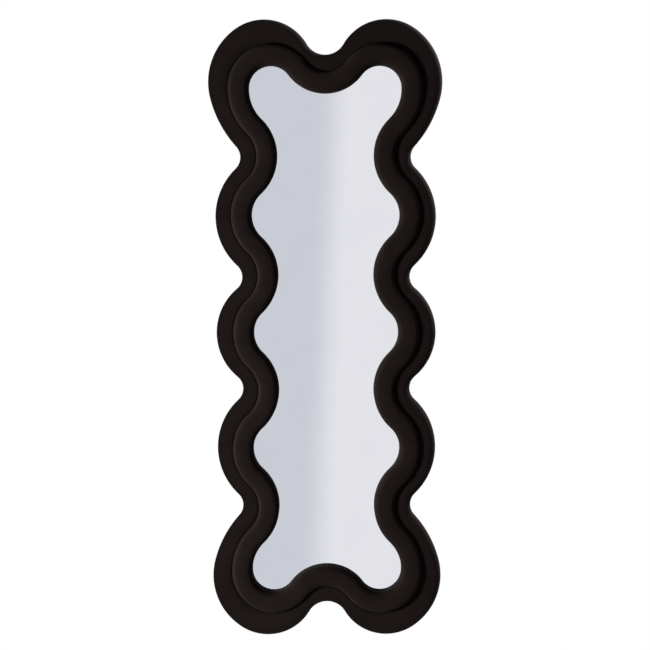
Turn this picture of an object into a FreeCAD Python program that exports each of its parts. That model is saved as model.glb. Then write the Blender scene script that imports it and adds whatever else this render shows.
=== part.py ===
"""A tall wall mirror with a wavy, padded frame in two tiers.

Frame of the model: X to the right, Z up, the front looks along -Y.  The origin is the middle of the
back panel's rear face, and the wall is a bumper's height behind it.  Heights below are measured from
that face towards the viewer.  The frame is the same left and right, above and below, so every ring is drawn
as one quarter and mirrored twice.
"""
import FreeCAD, Part
import math
import os

import Sketcher

Vector = FreeCAD.Vector

# Driving sizes in millimetres and degrees.  Centres are those of the upper right quarter.
SIZES = (
    # The outline: lobes, and the notches that touch the lobes on both sides of them.
    ("corner_lobe_x", 155.5),
    ("corner_lobe_z", 673.5),
    ("corner_lobe_radius", 126.5),
    ("shoulder_start_angle", 56),
    ("shoulder_radius", 165),
    ("flank_start_angle", -14),
    ("flank_radius", 287),
    ("side_lobe_x", 112.2),
    ("side_lobe_z", 299.7),
    ("side_lobe_radius", 171.4),
    ("middle_lobe_x", 133.7),
    ("middle_lobe_radius", 150),
    ("top_notch_radius", 54),
    ("upper_notch_radius", 40),
    ("lower_notch_radius", 39.5),
    # The sight edge, where the frame meets the glass: pockets, and the bulges between them.
    ("corner_pocket_x", 139.3),
    ("corner_pocket_z", 627.5),
    ("corner_pocket_radius", 55.8),
    ("pocket_flank_start_angle", 3),
    ("pocket_flank_radius", 105.5),
    ("side_pocket_x", 115),
    ("side_pocket_z", 303.2),
    ("side_pocket_radius", 75.3),
    ("middle_pocket_x", 114.3),
    ("middle_pocket_radius", 72.6),
    ("top_bulge_radius", 118),
    ("upper_bulge_radius", 132),
    ("lower_bulge_radius", 133.7),
    # The stack from the back panel's rear face to the front.
    ("panel_thickness", 3),
    ("strip_thickness", 2.7),
    ("film_thickness", 0.3),
    ("glass_thickness", 4),
    ("felt_thickness", 2),
    ("upper_core_thickness", 12),
    ("cover_thickness", 1.2),
    # The inner tier: a domed band of one width along the sight edge.
    ("inner_tier_width", 53),
    ("inner_tier_rise", 28),
    ("dome_radius", 130),
    ("dome_crest", 30),
    ("sight_round", 15),
    ("step_round", 11),
    ("inner_foam_side", 8.8),
    ("step_foam_side", 6.8),
    ("glass_gap", 0.3),
    ("crease_gap", 0.3),
    # The outer tier: a crowned band that starts at the outline and falls towards the base core.
    ("back_round", 8),
    ("edge_round", 20.5),
    ("crown_radius", 90),
    ("crown_end_rise", 2.1),
    ("edge_foam_side", 10),
    ("cover_turn_in", 18),
    # Glass, felt, panel and the strips behind the glass.
    ("glass_overlap", 20),
    ("glass_clearance", 2),
    ("felt_start", 11),
    ("felt_width", 8),
    ("panel_inset", 20),
    ("strip_width", 25),
    ("strip_length", 1180),
    ("strip_spacing", 90),
    # Screws and staples.
    ("screw_radius", 1.75),
    ("screw_head_radius", 3.5),
    ("screw_head_height", 2),
    ("screw_head_bevel", 0.8),
    ("screw_tip", 3),
    ("screw_clearance", 0.1),
    ("recess_half_width", 0.45),
    ("recess_reach", 2.1),
    ("recess_depth", 1.1),
    ("panel_screw_length", 10),
    ("panel_screw_inset", 31),
    ("panel_screws_per_quarter", 4),
    ("ring_screw_length", 17),
    ("ring_screw_offset", 34),
    ("ring_screws_per_quarter", 4),
    ("hanger_screw_length", 12.5),
    ("staple_half_crown", 5),
    ("staple_leg", 6),
    ("staple_wire", 0.8),
    ("staple_inset", 13.5),
    ("staples_per_quarter", 12),
    # Strap hangers with swivelling rings.
    ("hanger_inset", 60),
    ("hanger_angle", -24),
    ("strap_half_width", 7),
    ("strap_length", 50),
    ("strap_thickness", 1.2),
    ("strap_corner", 3),
    ("strap_hole_clearance", 0.3),
    ("loop_half_width", 6),
    ("ring_wire_radius", 1.5),
    ("ring_clearance", 0.3),
    ("ring_bar_half", 6.5),
    ("ring_corner_radius", 5),
    ("ring_side", 3),
    ("first_screw_drop", 28),
    ("second_screw_drop", 43),
    # Rubber bumpers.
    ("bumper_height", 6),
    ("bumper_radius", 10),
    ("bumper_bevel", 1.5),
    ("bumper_inset", 60),
)

# Each closed line as the arcs of its upper right quarter, in order from the top to the right.  A
# lobe has its own centre, a wider arc carries on from the one before it, and a hollow touches the
# arcs on both sides of it.
OUTLINE = (
    ("top_notch", "hollow"),
    ("corner_lobe", "lobe"),
    ("shoulder", "wider"),
    ("flank", "wider"),
    ("upper_notch", "hollow"),
    ("side_lobe", "lobe"),
    ("lower_notch", "hollow"),
    ("middle_lobe", "lobe"),
)
SIGHT_EDGE = (
    ("top_bulge", "hollow"),
    ("corner_pocket", "lobe"),
    ("pocket_flank", "wider"),
    ("upper_bulge", "hollow"),
    ("side_pocket", "lobe"),
    ("lower_bulge", "hollow"),
    ("middle_pocket", "lobe"),
)

# Lengths made of several sizes, each a tuple of their names; a minus sign takes one away.
PANEL_BACK = ()
PANEL_FRONT = ("panel_thickness",)
FILM_BACK = PANEL_FRONT + ("strip_thickness",)
GLASS_BACK = FILM_BACK + ("film_thickness",)
GLASS_FRONT = GLASS_BACK + ("glass_thickness",)
BASE_FRONT = GLASS_FRONT + ("felt_thickness",)
BASE_THICKNESS = ("strip_thickness", "film_thickness", "glass_thickness", "felt_thickness")
UPPER_FRONT = BASE_FRONT + ("upper_core_thickness",)
INNER_TIER_FRONT = BASE_FRONT + ("inner_tier_rise",)
INNER_COVER_BOTTOM = GLASS_FRONT + ("glass_gap",)
OUTER_COVER_BACK = PANEL_FRONT + ("-cover_thickness",)
BASE_CORE_INSET = ("-edge_foam_side", "-cover_thickness")
BASE_CORE_OPENING = ("glass_overlap", "glass_clearance")
UPPER_CORE_START = ("inner_foam_side", "cover_thickness")
UPPER_CORE_END = ("inner_tier_width", "-step_foam_side", "-cover_thickness")
CREASE = ("inner_tier_width", "crease_gap")
STRAP_BACK = ("-strap_thickness",)
LOOP_BORE = ("ring_wire_radius", "ring_clearance")
LOOP_OUTSIDE = LOOP_BORE + ("strap_thickness",)
RING_HALF_WIDTH = ("ring_bar_half", "ring_corner_radius")
CROWN_END = BASE_FRONT + ("crown_end_rise",)
SKIN = ("cover_thickness",)


def minus(terms):
    """The names of a length with every sign turned round."""
    return tuple(term[1:] if term.startswith("-") else "-" + term for term in terms)


HINGE_HEIGHT = minus(LOOP_OUTSIDE)


def signed(terms):
    """Each name of a length with its sign."""
    return [(-1, term[1:]) if term.startswith("-") else (1, term) for term in terms]


def formula(terms):
    """A length as a formula of the sheet's cells."""
    return " + ".join(f"({sign}) * Sizes.{name}" for sign, name in signed(terms)) or "0"


class Sheet:
    """The spreadsheet of driving sizes."""

    def __init__(self, document):
        self.cells = document.addObject("Spreadsheet::Sheet", "Sizes")
        for row, (name, value) in enumerate(SIZES, start=1):
            self.cells.set(f"A{row}", name)
            self.cells.set(f"B{row}", str(value))
            self.cells.setAlias(f"B{row}", name)
        document.recompute()

    def size(self, name):
        """One size."""
        return float(self.cells.get(name))

    def amount(self, terms):
        """A length made of several sizes."""
        return sum(sign * self.size(name) for sign, name in signed(terms))


class Arc:
    """One arc of a closed line; turn is -1 round a lobe and 1 round a hollow, going clockwise."""

    def __init__(self, name, centre, radius, turn):
        self.name = name
        self.centre = centre
        self.radius = radius
        self.turn = turn

    def grown(self, offset):
        """The radius of the same arc on the line at this distance outward."""
        return self.radius - self.turn * offset

    def joint(self, other, offset):
        """Where this arc meets the next one on the line at this distance outward."""
        across = other.centre - self.centre
        if self.turn != other.turn:
            return self.centre + across * (self.grown(offset) / across.Length)
        return self.centre - across * (self.grown(offset) / across.Length)


def polar(radius, degrees):
    """A vector of this length in this direction, from X towards Z."""
    angle = math.radians(degrees)
    return Vector(radius * math.cos(angle), radius * math.sin(angle), 0)


def touching(first, second, radius):
    """The centre of the hollow of this radius that touches two lobes, one after the other."""
    across = second.centre - first.centre
    reach = first.radius + radius
    along = (reach**2 - (second.radius + radius) ** 2 + across.Length**2) / (2 * across.Length)
    direction = across / across.Length
    outward = Vector(-direction.y, direction.x, 0)
    return first.centre + direction * along + outward * math.sqrt(reach**2 - along**2)


def quarter(sheet, line):
    """The arcs of a line's first quarter, with the centres of those that follow from the rest."""
    arcs = []
    for name, kind in line:
        radius = sheet.size(f"{name}_radius")
        if kind == "lobe":
            height = 0 if name.startswith("middle") else sheet.size(f"{name}_z")
            arcs.append(Arc(name, Vector(sheet.size(f"{name}_x"), height, 0), radius, -1))
        elif kind == "wider":
            before = arcs[-1]
            step = polar(radius - before.radius, sheet.size(f"{name}_start_angle"))
            arcs.append(Arc(name, before.centre - step, radius, -1))
        else:
            arcs.append(Arc(name, None, radius, 1))
    for index, arc in enumerate(arcs):
        if arc.turn == 1 and index > 0:
            arc.centre = touching(arcs[index - 1], arcs[index + 1], arc.radius)
    lobe = arcs[1]
    rise = math.sqrt((lobe.radius + arcs[0].radius) ** 2 - lobe.centre.x**2)
    arcs[0].centre = Vector(0, lobe.centre.y + rise, 0)
    return arcs


def stations(arcs, offset):
    """The ends of the arcs of a quarter, on the line at this distance outward."""
    top = Vector(0, arcs[0].centre.y - arcs[0].grown(offset), 0)
    right = Vector(arcs[-1].centre.x + arcs[-1].grown(offset), 0, 0)
    between = [arc.joint(after, offset) for arc, after in zip(arcs, arcs[1:])]
    return [top] + between + [right]


def top_height(line):
    """The height at which a line crosses the middle, as a formula."""
    hollow, lobe = (f"Sizes.{name}" for name, kind in line[:2])
    rise = f"sqrt(({lobe}_radius + {hollow}_radius) ^ 2 - {lobe}_x ^ 2)"
    return f"{lobe}_z + {rise} - {hollow}_radius"


class Drawing:
    """One sketch: its lines and arcs, what holds them together and the formulas of their sizes."""

    START, END, CENTRE = 1, 2, 3
    ORIGIN = (-1, 1)
    X_AXIS, Y_AXIS = -1, -2

    def __init__(self, body, name, role, height=(), start=None):
        self.sketch = body.newObject("Sketcher::SketchObject", name)
        self.sketch.AttachmentSupport = [(origin_plane(body, role), "")]
        self.sketch.MapMode = "FlatFace"
        if height:
            self.sketch.setExpression("AttachmentOffset.Base.z", formula(height))
        if start:
            self.sketch.setExpression("AttachmentOffset.Base.y", start)
        self.shapes = []
        self.constraints = []
        self.formulas = []

    def line(self, start, end):
        """Adds a straight line and gives its number."""
        self.shapes.append(Part.LineSegment(start, end))
        return len(self.shapes) - 1

    def arc(self, centre, radius, start, end, turn):
        """Adds an arc from start to end and gives its number and which of its ends is which."""
        angles = [math.atan2(point.y - centre.y, point.x - centre.x) for point in (start, end)]
        if turn < 0:
            angles.reverse()
        circle = Part.Circle(centre, Vector(0, 0, 1), radius)
        self.shapes.append(Part.ArcOfCircle(circle, *angles))
        ends = (self.START, self.END) if turn > 0 else (self.END, self.START)
        return len(self.shapes) - 1, ends

    def circle(self, centre, radius):
        """Adds a full circle and gives its number."""
        self.shapes.append(Part.Circle(centre, Vector(0, 0, 1), radius))
        return len(self.shapes) - 1

    def hold(self, kind, *where):
        """Adds a constraint that has no size."""
        self.constraints.append(Sketcher.Constraint(kind, *where))

    def measure(self, kind, *where, value, cells):
        """Adds a constraint whose size is a formula of the sheet's cells."""
        self.constraints.append(Sketcher.Constraint(kind, *where, value))
        self.formulas.append((len(self.constraints) - 1, cells))

    def place(self, shape, end, across, up):
        """Pins a point by two (value, formula) pairs, across and up from the origin."""
        point = (*self.ORIGIN, shape, end)
        ways = (("DistanceX", self.Y_AXIS, across), ("DistanceY", self.X_AXIS, up))
        for kind, axis, (value, cells) in ways:
            if cells == "0":
                self.hold("PointOnObject", shape, end, axis)
            else:
                self.measure(kind, *point, value=value, cells=cells)

    def polygon(self, sheet, corners):
        """Draws a closed outline of straight lines through corners, each an (across, up) pair."""
        pairs = [[(sheet.amount(terms), formula(terms)) for terms in corner] for corner in corners]
        points = [Vector(across, up, 0) for (across, _), (up, _) in pairs]
        sides = [self.line(start, end) for start, end in zip(points, points[1:] + points[:1])]
        for before, side, (across, up) in zip(sides[-1:] + sides[:-1], sides, pairs):
            self.hold("Coincident", before, self.END, side, self.START)
            self.place(side, self.START, across, up)

    def finish(self):
        """Writes the shapes, the constraints and the formulas into the sketch."""
        self.sketch.addGeometry(self.shapes, False)
        self.sketch.addConstraint(self.constraints)
        for index, cells in self.formulas:
            self.sketch.setExpression(f"Constraints[{index}]", cells)
        return self.sketch


def origin_plane(body, role):
    """One of a body's own origin planes."""
    return next(plane for plane in body.Origin.OriginFeatures if plane.Role == role)


def draw_quarter(drawing, sheet, line, offset=()):
    """Draws one quarter of a line at a distance outward; gives the first and last point's places."""
    arcs = quarter(sheet, line)
    distance = sheet.amount(offset)
    points = stations(arcs, distance)
    placed = []
    for arc, start, end in zip(arcs, points, points[1:]):
        number, ends = drawing.arc(arc.centre, arc.grown(distance), start, end, arc.turn)
        placed.append((number, *ends))
        grown = formula(minus(offset) if arc.turn > 0 else offset)
        cells = f"Sizes.{arc.name}_radius + ({grown})"
        drawing.measure("Radius", number, value=arc.grown(distance), cells=cells)
    for (before, _, end), (after, start, _) in zip(placed, placed[1:]):
        drawing.hold("Tangent", before, end, after, start)
    for index, (name, kind) in enumerate(line):
        number, start, end = placed[index]
        centre = arcs[index].centre
        if kind == "lobe":
            height = (0, "0") if name.startswith("middle") else (centre.y, f"Sizes.{name}_z")
            drawing.place(number, drawing.CENTRE, (centre.x, f"Sizes.{name}_x"), height)
        if kind == "wider":
            before, _, joint = placed[index - 1]
            name_before = line[index - 1][0]
            rise = points[index].y - arcs[index - 1].centre.y
            reach = f"(Sizes.{name_before}_radius + ({formula(offset)}))"
            cells = f"{reach} * sin(Sizes.{name}_start_angle)"
            where = (before, drawing.CENTRE, before, joint)
            drawing.measure("DistanceY", *where, value=rise, cells=cells)
    first, last = placed[0], placed[-1]
    drawing.hold("PointOnObject", first[0], drawing.CENTRE, drawing.Y_AXIS)
    drawing.hold("PointOnObject", first[0], first[1], drawing.Y_AXIS)
    drawing.hold("PointOnObject", last[0], last[2], drawing.X_AXIS)
    return (first[0], first[1], points[0]), (last[0], last[2], points[-1])


def tie(drawing, first, second):
    """Joins two placed points with a straight line."""
    number = drawing.line(first[2], second[2])
    drawing.hold("Coincident", number, drawing.START, first[0], first[1])
    drawing.hold("Coincident", number, drawing.END, second[0], second[1])


def draw_band(drawing, sheet, outer, inner):
    """Draws the quarter of a ring between two (line, offset) pairs."""
    outer_ends = draw_quarter(drawing, sheet, *outer)
    inner_ends = draw_quarter(drawing, sheet, *inner)
    for first, second in zip(outer_ends, inner_ends):
        tie(drawing, first, second)
    return drawing.finish()


def draw_plate(drawing, sheet, line, offset=()):
    """Draws the quarter of a whole plate inside a line."""
    middle = (*drawing.ORIGIN, Vector(0, 0, 0))
    for end in draw_quarter(drawing, sheet, line, offset):
        tie(drawing, middle, end)
    return drawing.finish()


class Profile(Drawing):
    """The cross-section of a tier, drawn at the top of its path; side is 1 where it reaches outward."""

    def __init__(self, body, name, line, side):
        super().__init__(body, name, "YZ_Plane", start=top_height(line))
        self.side = side

    def spot(self, sheet, lateral, height):
        """A point at a distance along the wall and a height above it."""
        return Vector(-sheet.amount(height), self.side * sheet.amount(lateral), 0)

    def pin(self, shape, end, sheet, lateral, height):
        """Pins a point by its distance along the wall and its height above it."""
        point = self.spot(sheet, lateral, height)
        sideways = f"({self.side}) * ({formula(lateral)})" if lateral else "0"
        self.place(shape, end, (point.x, f"-({formula(height)})"), (point.y, sideways))

    def level(self, shape, end, sheet, height):
        """Holds a point at a height above the wall."""
        where = (*self.ORIGIN, shape, end)
        self.measure("DistanceX", *where, value=-sheet.amount(height), cells=f"-({formula(height)})")

    def drop(self, sheet, start, height):
        """Draws a line straight towards the wall and gives its end's place."""
        point = Vector(-sheet.amount(height), start[2].y, 0)
        number = self.line(start[2], point)
        self.hold("Coincident", number, self.START, start[0], start[1])
        self.hold("Horizontal", number)
        self.level(number, self.END, sheet, height)
        return number, self.END, point

    def close(self, sheet, first, last, corners):
        """Closes the section from its last point through the corners back to its first point."""
        before = last
        for lateral, height in corners:
            point = self.spot(sheet, lateral, height)
            number = self.line(before[2], point)
            self.hold("Coincident", number, self.START, before[0], before[1])
            self.pin(number, self.END, sheet, lateral, height)
            before = (number, self.END, point)
        tie(self, before, first)

    def arcs(self, names, centres, radii, points, turn, skin):
        """Draws arcs that run on from one another at a depth under the cover; gives their places."""
        placed = []
        under = formula(minus(skin))
        for name, centre, radius, start, end in zip(names, centres, radii, points, points[1:]):
            number, ends = self.arc(centre, radius, start, end, turn)
            self.measure("Radius", number, value=radius, cells=f"Sizes.{name} + ({under})")
            placed.append((number, *ends))
        for before, after in zip(placed, placed[1:]):
            self.hold("Tangent", before[0], before[2], after[0], after[1])
        return placed


def outer_tier_edge(profile, sheet, skin=()):
    """Draws the crowned top of the outer tier at a depth under its cover, from the back round it."""
    depth = sheet.amount(skin)
    names = ("back_round", "edge_round", "crown_radius")
    back, edge, crown = (sheet.size(name) for name in names)
    widest = sheet.amount(OUTER_COVER_BACK) + back
    end_height = sheet.amount(CROWN_END)
    above_centre = end_height + crown - edge - widest
    end_across = math.sqrt((crown - depth) ** 2 - above_centre**2)
    centres = (
        Vector(-widest, -back, 0),
        Vector(-widest, -edge, 0),
        Vector(crown - edge - widest, -edge, 0),
    )
    radii = (back - depth, edge - depth, crown - depth)
    points = (
        centres[0] + Vector(radii[0], 0, 0),
        Vector(-widest, -depth, 0),
        centres[1] - Vector(radii[1], 0, 0),
        Vector(-end_height, -(edge + end_across), 0),
    )
    first, middle, last = profile.arcs(names, centres, radii, points, 1, skin)
    profile.pin(first[0], profile.CENTRE, sheet, ("back_round",), OUTER_COVER_BACK + ("back_round",))
    profile.hold("Horizontal", first[0], profile.CENTRE, first[0], first[1])
    profile.hold("Vertical", first[0], profile.CENTRE, first[0], first[2])
    profile.hold("Horizontal", middle[0], profile.CENTRE, middle[0], middle[2])
    profile.level(last[0], last[2], sheet, CROWN_END)
    return (first[0], first[1], points[0]), (last[0], last[2], points[3])


def inner_tier_edge(profile, sheet, skin=()):
    """Draws the domed top of the inner tier at a depth under its cover, from the glass outward."""
    depth = sheet.amount(skin)
    width, crest = sheet.size("inner_tier_width"), sheet.size("dome_crest")
    names = ("sight_round", "dome_radius", "step_round")
    sight, dome, step = (sheet.size(name) for name in names)
    centre_height = sheet.amount(INNER_TIER_FRONT) - dome
    sight_height = centre_height + math.sqrt((dome - sight) ** 2 - (crest - sight) ** 2)
    step_height = centre_height + math.sqrt((dome - step) ** 2 - (width - step - crest) ** 2)
    centres = (
        Vector(-sight_height, sight, 0),
        Vector(-centre_height, crest, 0),
        Vector(-step_height, width - step, 0),
    )
    radii = (sight - depth, dome - depth, step - depth)
    towards = [(centre - centres[1]).normalize() for centre in (centres[0], centres[2])]
    points = (
        centres[0] - Vector(0, radii[0], 0),
        centres[1] + towards[0] * radii[1],
        centres[1] + towards[1] * radii[1],
        centres[2] + Vector(0, radii[2], 0),
    )
    first, middle, last = profile.arcs(names, centres, radii, points, -1, skin)
    profile.pin(middle[0], profile.CENTRE, sheet, ("dome_crest",), INNER_TIER_FRONT + ("-dome_radius",))
    walls = []
    bottoms = ((skin, INNER_COVER_BOTTOM + skin), (("inner_tier_width",) + minus(skin), BASE_FRONT))
    ends = ((first[0], first[1], points[0]), (last[0], last[2], points[3]))
    for (lateral, height), (arc, end, top) in zip(bottoms, ends):
        point = profile.spot(sheet, lateral, height)
        number = profile.line(point, top)
        profile.pin(number, profile.START, sheet, lateral, height)
        profile.hold("Tangent", number, profile.END, arc, end)
        profile.hold("Horizontal", number)
        walls.append((number, profile.START, point))
    return walls


class Mirror:
    """The document of the whole mirror: one method for each of its sub-parts."""

    def __init__(self):
        self.document = FreeCAD.newDocument("WavyMirror")
        self.sheet = Sheet(self.document)
        self.pieces = []

    def body(self, name):
        """A new empty body."""
        return self.document.addObject("PartDesign::Body", name)

    def feature(self, body, kind, name, profile):
        """A feature of a body made from one sketch."""
        made = body.newObject(f"PartDesign::{kind}", name)
        made.Profile = profile
        return made

    def raised(self, body, sketch, thickness, name="Plate"):
        """Pads a sketch towards the front by a length of the sheet."""
        pad = self.feature(body, "Pad", name, sketch)
        pad.setExpression("Length", formula(thickness))
        return pad

    def mirrored(self, body, features):
        """Repeats a quarter to the left and below."""
        self.document.recompute()
        both = body.newObject("PartDesign::MultiTransform", "FourQuarters")
        both.Originals = features
        mirrors = []
        for name, role in (("LeftHalf", "YZ_Plane"), ("LowerHalf", "XY_Plane")):
            mirror = body.newObject("PartDesign::Mirrored", name)
            mirror.MirrorPlane = (origin_plane(body, role), [""])
            mirrors.append(mirror)
        both.Transformations = mirrors
        body.Tip = both
        self.document.recompute()

    def keep(self, piece, label):
        """Names a finished sub-part and keeps it for writing."""
        piece.Label = label
        self.pieces.append(piece)
        return piece

    def plate(self, name, line, offset, height, thickness):
        """A flat plate that fills a line."""
        body = self.body(name)
        sketch = draw_plate(Drawing(body, "Shape", "XZ_Plane", height), self.sheet, line, offset)
        self.mirrored(body, [self.raised(body, sketch, thickness)])
        return body

    def ring(self, name, outer, inner, height, thickness):
        """A flat ring between two lines."""
        body = self.body(name)
        sketch = draw_band(Drawing(body, "Shape", "XZ_Plane", height), self.sheet, outer, inner)
        self.mirrored(body, [self.raised(body, sketch, thickness)])
        return body

    def swept(self, name, line, profile, draw, cut_at_crease=False):
        """A ring of one cross-section along a line, cut off where the inner tier stands if asked."""
        body = self.body(name)
        path = Drawing(body, "Path", "XZ_Plane")
        draw_quarter(path, self.sheet, line)
        path = path.finish()
        section = Profile(body, "Section", line, profile)
        draw(section)
        section = section.finish()
        self.document.recompute()
        sweep = self.feature(body, "AdditivePipe", "Sweep", section)
        sweep.Spine = (path, [f"Edge{number}" for number, _ in enumerate(path.Shape.Edges, start=1)])
        features = [sweep]
        if cut_at_crease:
            crease = draw_plate(Drawing(body, "Crease", "XZ_Plane"), self.sheet, SIGHT_EDGE, CREASE)
            cut = self.feature(body, "Pocket", "CutAtCrease", crease)
            cut.Type = "ThroughAll"
            cut.Midplane = True
            features.append(cut)
        self.mirrored(body, features)
        return body

    def drilled(self, base, tools, label):
        """Cuts the room for screws and staples out of a piece."""
        tool = self.document.addObject("Part::Compound", f"{label}_rooms")
        tool.Links = tools
        cut = self.document.addObject("Part::Cut", label)
        cut.Base = base
        cut.Tool = tool
        return self.keep(cut, label)

    def group(self, label, source, placements):
        """Separate copies of one solid, each with its own placement."""
        made = self.document.addObject("Part::Feature", label)
        made.Shape = Part.makeCompound([source.Shape.transformed(place.toMatrix()) for place in placements])
        return made

    def boards(self):
        """The hard core of each tier and the panel that closes the back, before they are drilled."""
        band = ((OUTLINE, BASE_CORE_INSET), (SIGHT_EDGE, BASE_CORE_OPENING))
        strip = ((SIGHT_EDGE, UPPER_CORE_END), (SIGHT_EDGE, UPPER_CORE_START))
        base = self.ring("BaseCoreBlank", *band, PANEL_FRONT, BASE_THICKNESS)
        upper = self.ring("UpperCoreBlank", *strip, BASE_FRONT, ("upper_core_thickness",))
        panel = self.plate("PanelBlank", OUTLINE, ("-panel_inset",), PANEL_BACK, ("panel_thickness",))
        return base, upper, panel

    def glazing(self):
        """The glass with its safety film, the felt in front of it and the strips behind it."""
        overlap = ("glass_overlap",)
        self.keep(self.plate("Glass", SIGHT_EDGE, overlap, GLASS_BACK, ("glass_thickness",)), "mirror_glass")
        self.keep(self.plate("Film", SIGHT_EDGE, overlap, FILM_BACK, ("film_thickness",)), "safety_film")
        felt = ((SIGHT_EDGE, ("felt_start", "felt_width")), (SIGHT_EDGE, ("felt_start",)))
        self.keep(self.ring("Felt", *felt, GLASS_FRONT, ("felt_thickness",)), "glazing_felt")
        strips = self.document.addObject("Part::Compound", "FoamStrips")
        strips.Links = [self.foam_strip(place) for place in (-1, 0, 1)]
        self.keep(strips, "foam_strips")

    def foam_strip(self, place):
        """One upright strip of foam between the panel and the film."""
        strip = self.document.addObject("Part::Box", "FoamStrip")
        strip.setExpression("Length", "Sizes.strip_width")
        strip.setExpression("Width", "Sizes.strip_thickness")
        strip.setExpression("Height", "Sizes.strip_length")
        strip.setExpression("Placement.Base.x", f"{place} * Sizes.strip_spacing - Sizes.strip_width / 2")
        strip.setExpression("Placement.Base.y", f"-({formula(FILM_BACK)})")
        strip.setExpression("Placement.Base.z", "-Sizes.strip_length / 2")
        return strip

    def upholstery(self):
        """The foam and the cloth of both tiers; the outer cover is still to be pierced."""
        core = minus(BASE_CORE_INSET)
        sheet = self.sheet

        def outer_foam(profile):
            first, last = outer_tier_edge(profile, sheet, SKIN)
            foot = profile.drop(sheet, last, BASE_FRONT)
            profile.close(sheet, first, foot, [(core, BASE_FRONT), (core, PANEL_FRONT)])

        def outer_cloth(profile):
            outside = outer_tier_edge(profile, sheet)
            inside = outer_tier_edge(profile, sheet, SKIN)
            tie(profile, outside[1], inside[1])
            turn_in = [(("cover_turn_in",), height) for height in (OUTER_COVER_BACK, PANEL_FRONT)]
            profile.close(sheet, inside[0], outside[0], turn_in)

        def inner_foam(profile):
            first, last = inner_tier_edge(profile, sheet, SKIN)
            corners = [
                (UPPER_CORE_END, BASE_FRONT),
                (UPPER_CORE_END, UPPER_FRONT),
                (UPPER_CORE_START, UPPER_FRONT),
                (UPPER_CORE_START, INNER_COVER_BOTTOM + SKIN),
            ]
            profile.close(sheet, first, last, corners)

        def inner_cloth(profile):
            outside = inner_tier_edge(profile, sheet)
            inside = inner_tier_edge(profile, sheet, SKIN)
            tie(profile, outside[1], inside[1])
            turn_in = [(UPPER_CORE_START, INNER_COVER_BOTTOM + skin) for skin in ((), SKIN)]
            profile.close(sheet, inside[0], outside[0], turn_in)

        self.keep(self.swept("OuterPad", OUTLINE, -1, outer_foam, True), "outer_pad")
        self.keep(self.swept("InnerPad", SIGHT_EDGE, 1, inner_foam), "inner_pad")
        self.keep(self.swept("InnerCover", SIGHT_EDGE, 1, inner_cloth), "inner_cover")
        return self.swept("OuterCoverBlank", OUTLINE, -1, outer_cloth, True)

    def turned(self, name, outline):
        """A body turned about the Y axis from (radius, depth) pairs of lengths, depth along -Y."""
        body = self.body(name)
        drawing = Drawing(body, "Section", "XY_Plane")
        drawing.polygon(self.sheet, [(radius, minus(depth)) for radius, depth in outline])
        sketch = drawing.finish()
        turn = self.feature(body, "Revolution", "Turn", sketch)
        turn.ReferenceAxis = (sketch, ["V_Axis"])
        turn.Angle = 360
        self.document.recompute()
        return body

    def screw(self, name, length, pan_head=False):
        """A wood screw with a cross recess, its head at the origin and its tip towards -Y."""
        head, bevel = ("screw_head_radius",), ("screw_head_bevel",)
        if pan_head:
            top = [(head + ("-screw_head_bevel",), ()), (head, bevel), (head, ("screw_head_height",))]
        else:
            top = [(head, ())]
        outline = [((), ())] + top + self.shank(length)
        body = self.turned(name, outline)
        cross = Drawing(body, "Recess", "XZ_Plane")
        self.cross_recess(cross)
        cut = self.feature(body, "Pocket", "RecessCut", cross.finish())
        cut.setExpression("Length", "Sizes.recess_depth")
        cut.Reversed = True
        self.document.recompute()
        return body

    def shank(self, length):
        """The corners of a screw below its head."""
        radius = ("screw_radius",)
        return [(radius, ("screw_head_height",)), (radius, length + ("-screw_tip",)), ((), length)]

    def cross_recess(self, drawing):
        """Draws the twelve-sided cross of a screw's recess."""
        half, reach = ("recess_half_width",), ("recess_reach",)
        arm = [(reach, minus(half)), (reach, half), (half, half)]
        corners = list(arm)
        for _ in range(3):
            arm = [(minus(up), across) for across, up in arm]
            corners += arm
        drawing.polygon(self.sheet, corners)

    def screw_room(self, name, length, pan_head=False):
        """The room that a screw needs in the boards it holds together."""
        clearance = ("screw_clearance",)
        radius, head = ("screw_radius",) + clearance, ("screw_head_radius",) + clearance
        top = (radius, ()) if pan_head else (head, ())
        outline = [((), ()), top, (radius, ("screw_head_height",)), (radius, length + ("-screw_tip",))]
        return self.turned(name, outline + [((), length + clearance)])

    def stations_along(self, line, offset, per_quarter):
        """Evenly spaced points on a line at a distance outward, each with the line's direction there."""
        arcs = quarter(self.sheet, line)
        distance = self.sheet.amount(offset)
        points = stations(arcs, distance)
        runs = []
        for arc, start, end in zip(arcs, points, points[1:]):
            spokes = (start - arc.centre, end - arc.centre)
            first, last = (math.atan2(spoke.y, spoke.x) for spoke in spokes)
            runs.append((arc, first, arc.turn * ((arc.turn * (last - first)) % (2 * math.pi))))
        length = sum(abs(turn) * arc.grown(distance) for arc, _, turn in runs)
        found = []
        for number in range(per_quarter):
            left = length * (number + 0.5) / per_quarter
            for arc, first, turn in runs:
                radius = arc.grown(distance)
                if left <= abs(turn) * radius:
                    angle = first + arc.turn * left / radius
                    point = arc.centre + polar(radius, math.degrees(angle))
                    heading = polar(1, math.degrees(angle) + 90 * arc.turn)
                    found += self.four_ways(point, heading)
                    break
                left -= abs(turn) * radius
        return found

    def four_ways(self, point, heading=Vector(1, 0, 0)):
        """A point and a direction of the first quarter, and their mirror images."""
        signs = [(across, up) for across in (1, -1) for up in (1, -1)]
        return [
            (Vector(across * point.x, up * point.y, 0), Vector(across * heading.x, up * heading.y, 0))
            for across, up in signs
        ]

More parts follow.
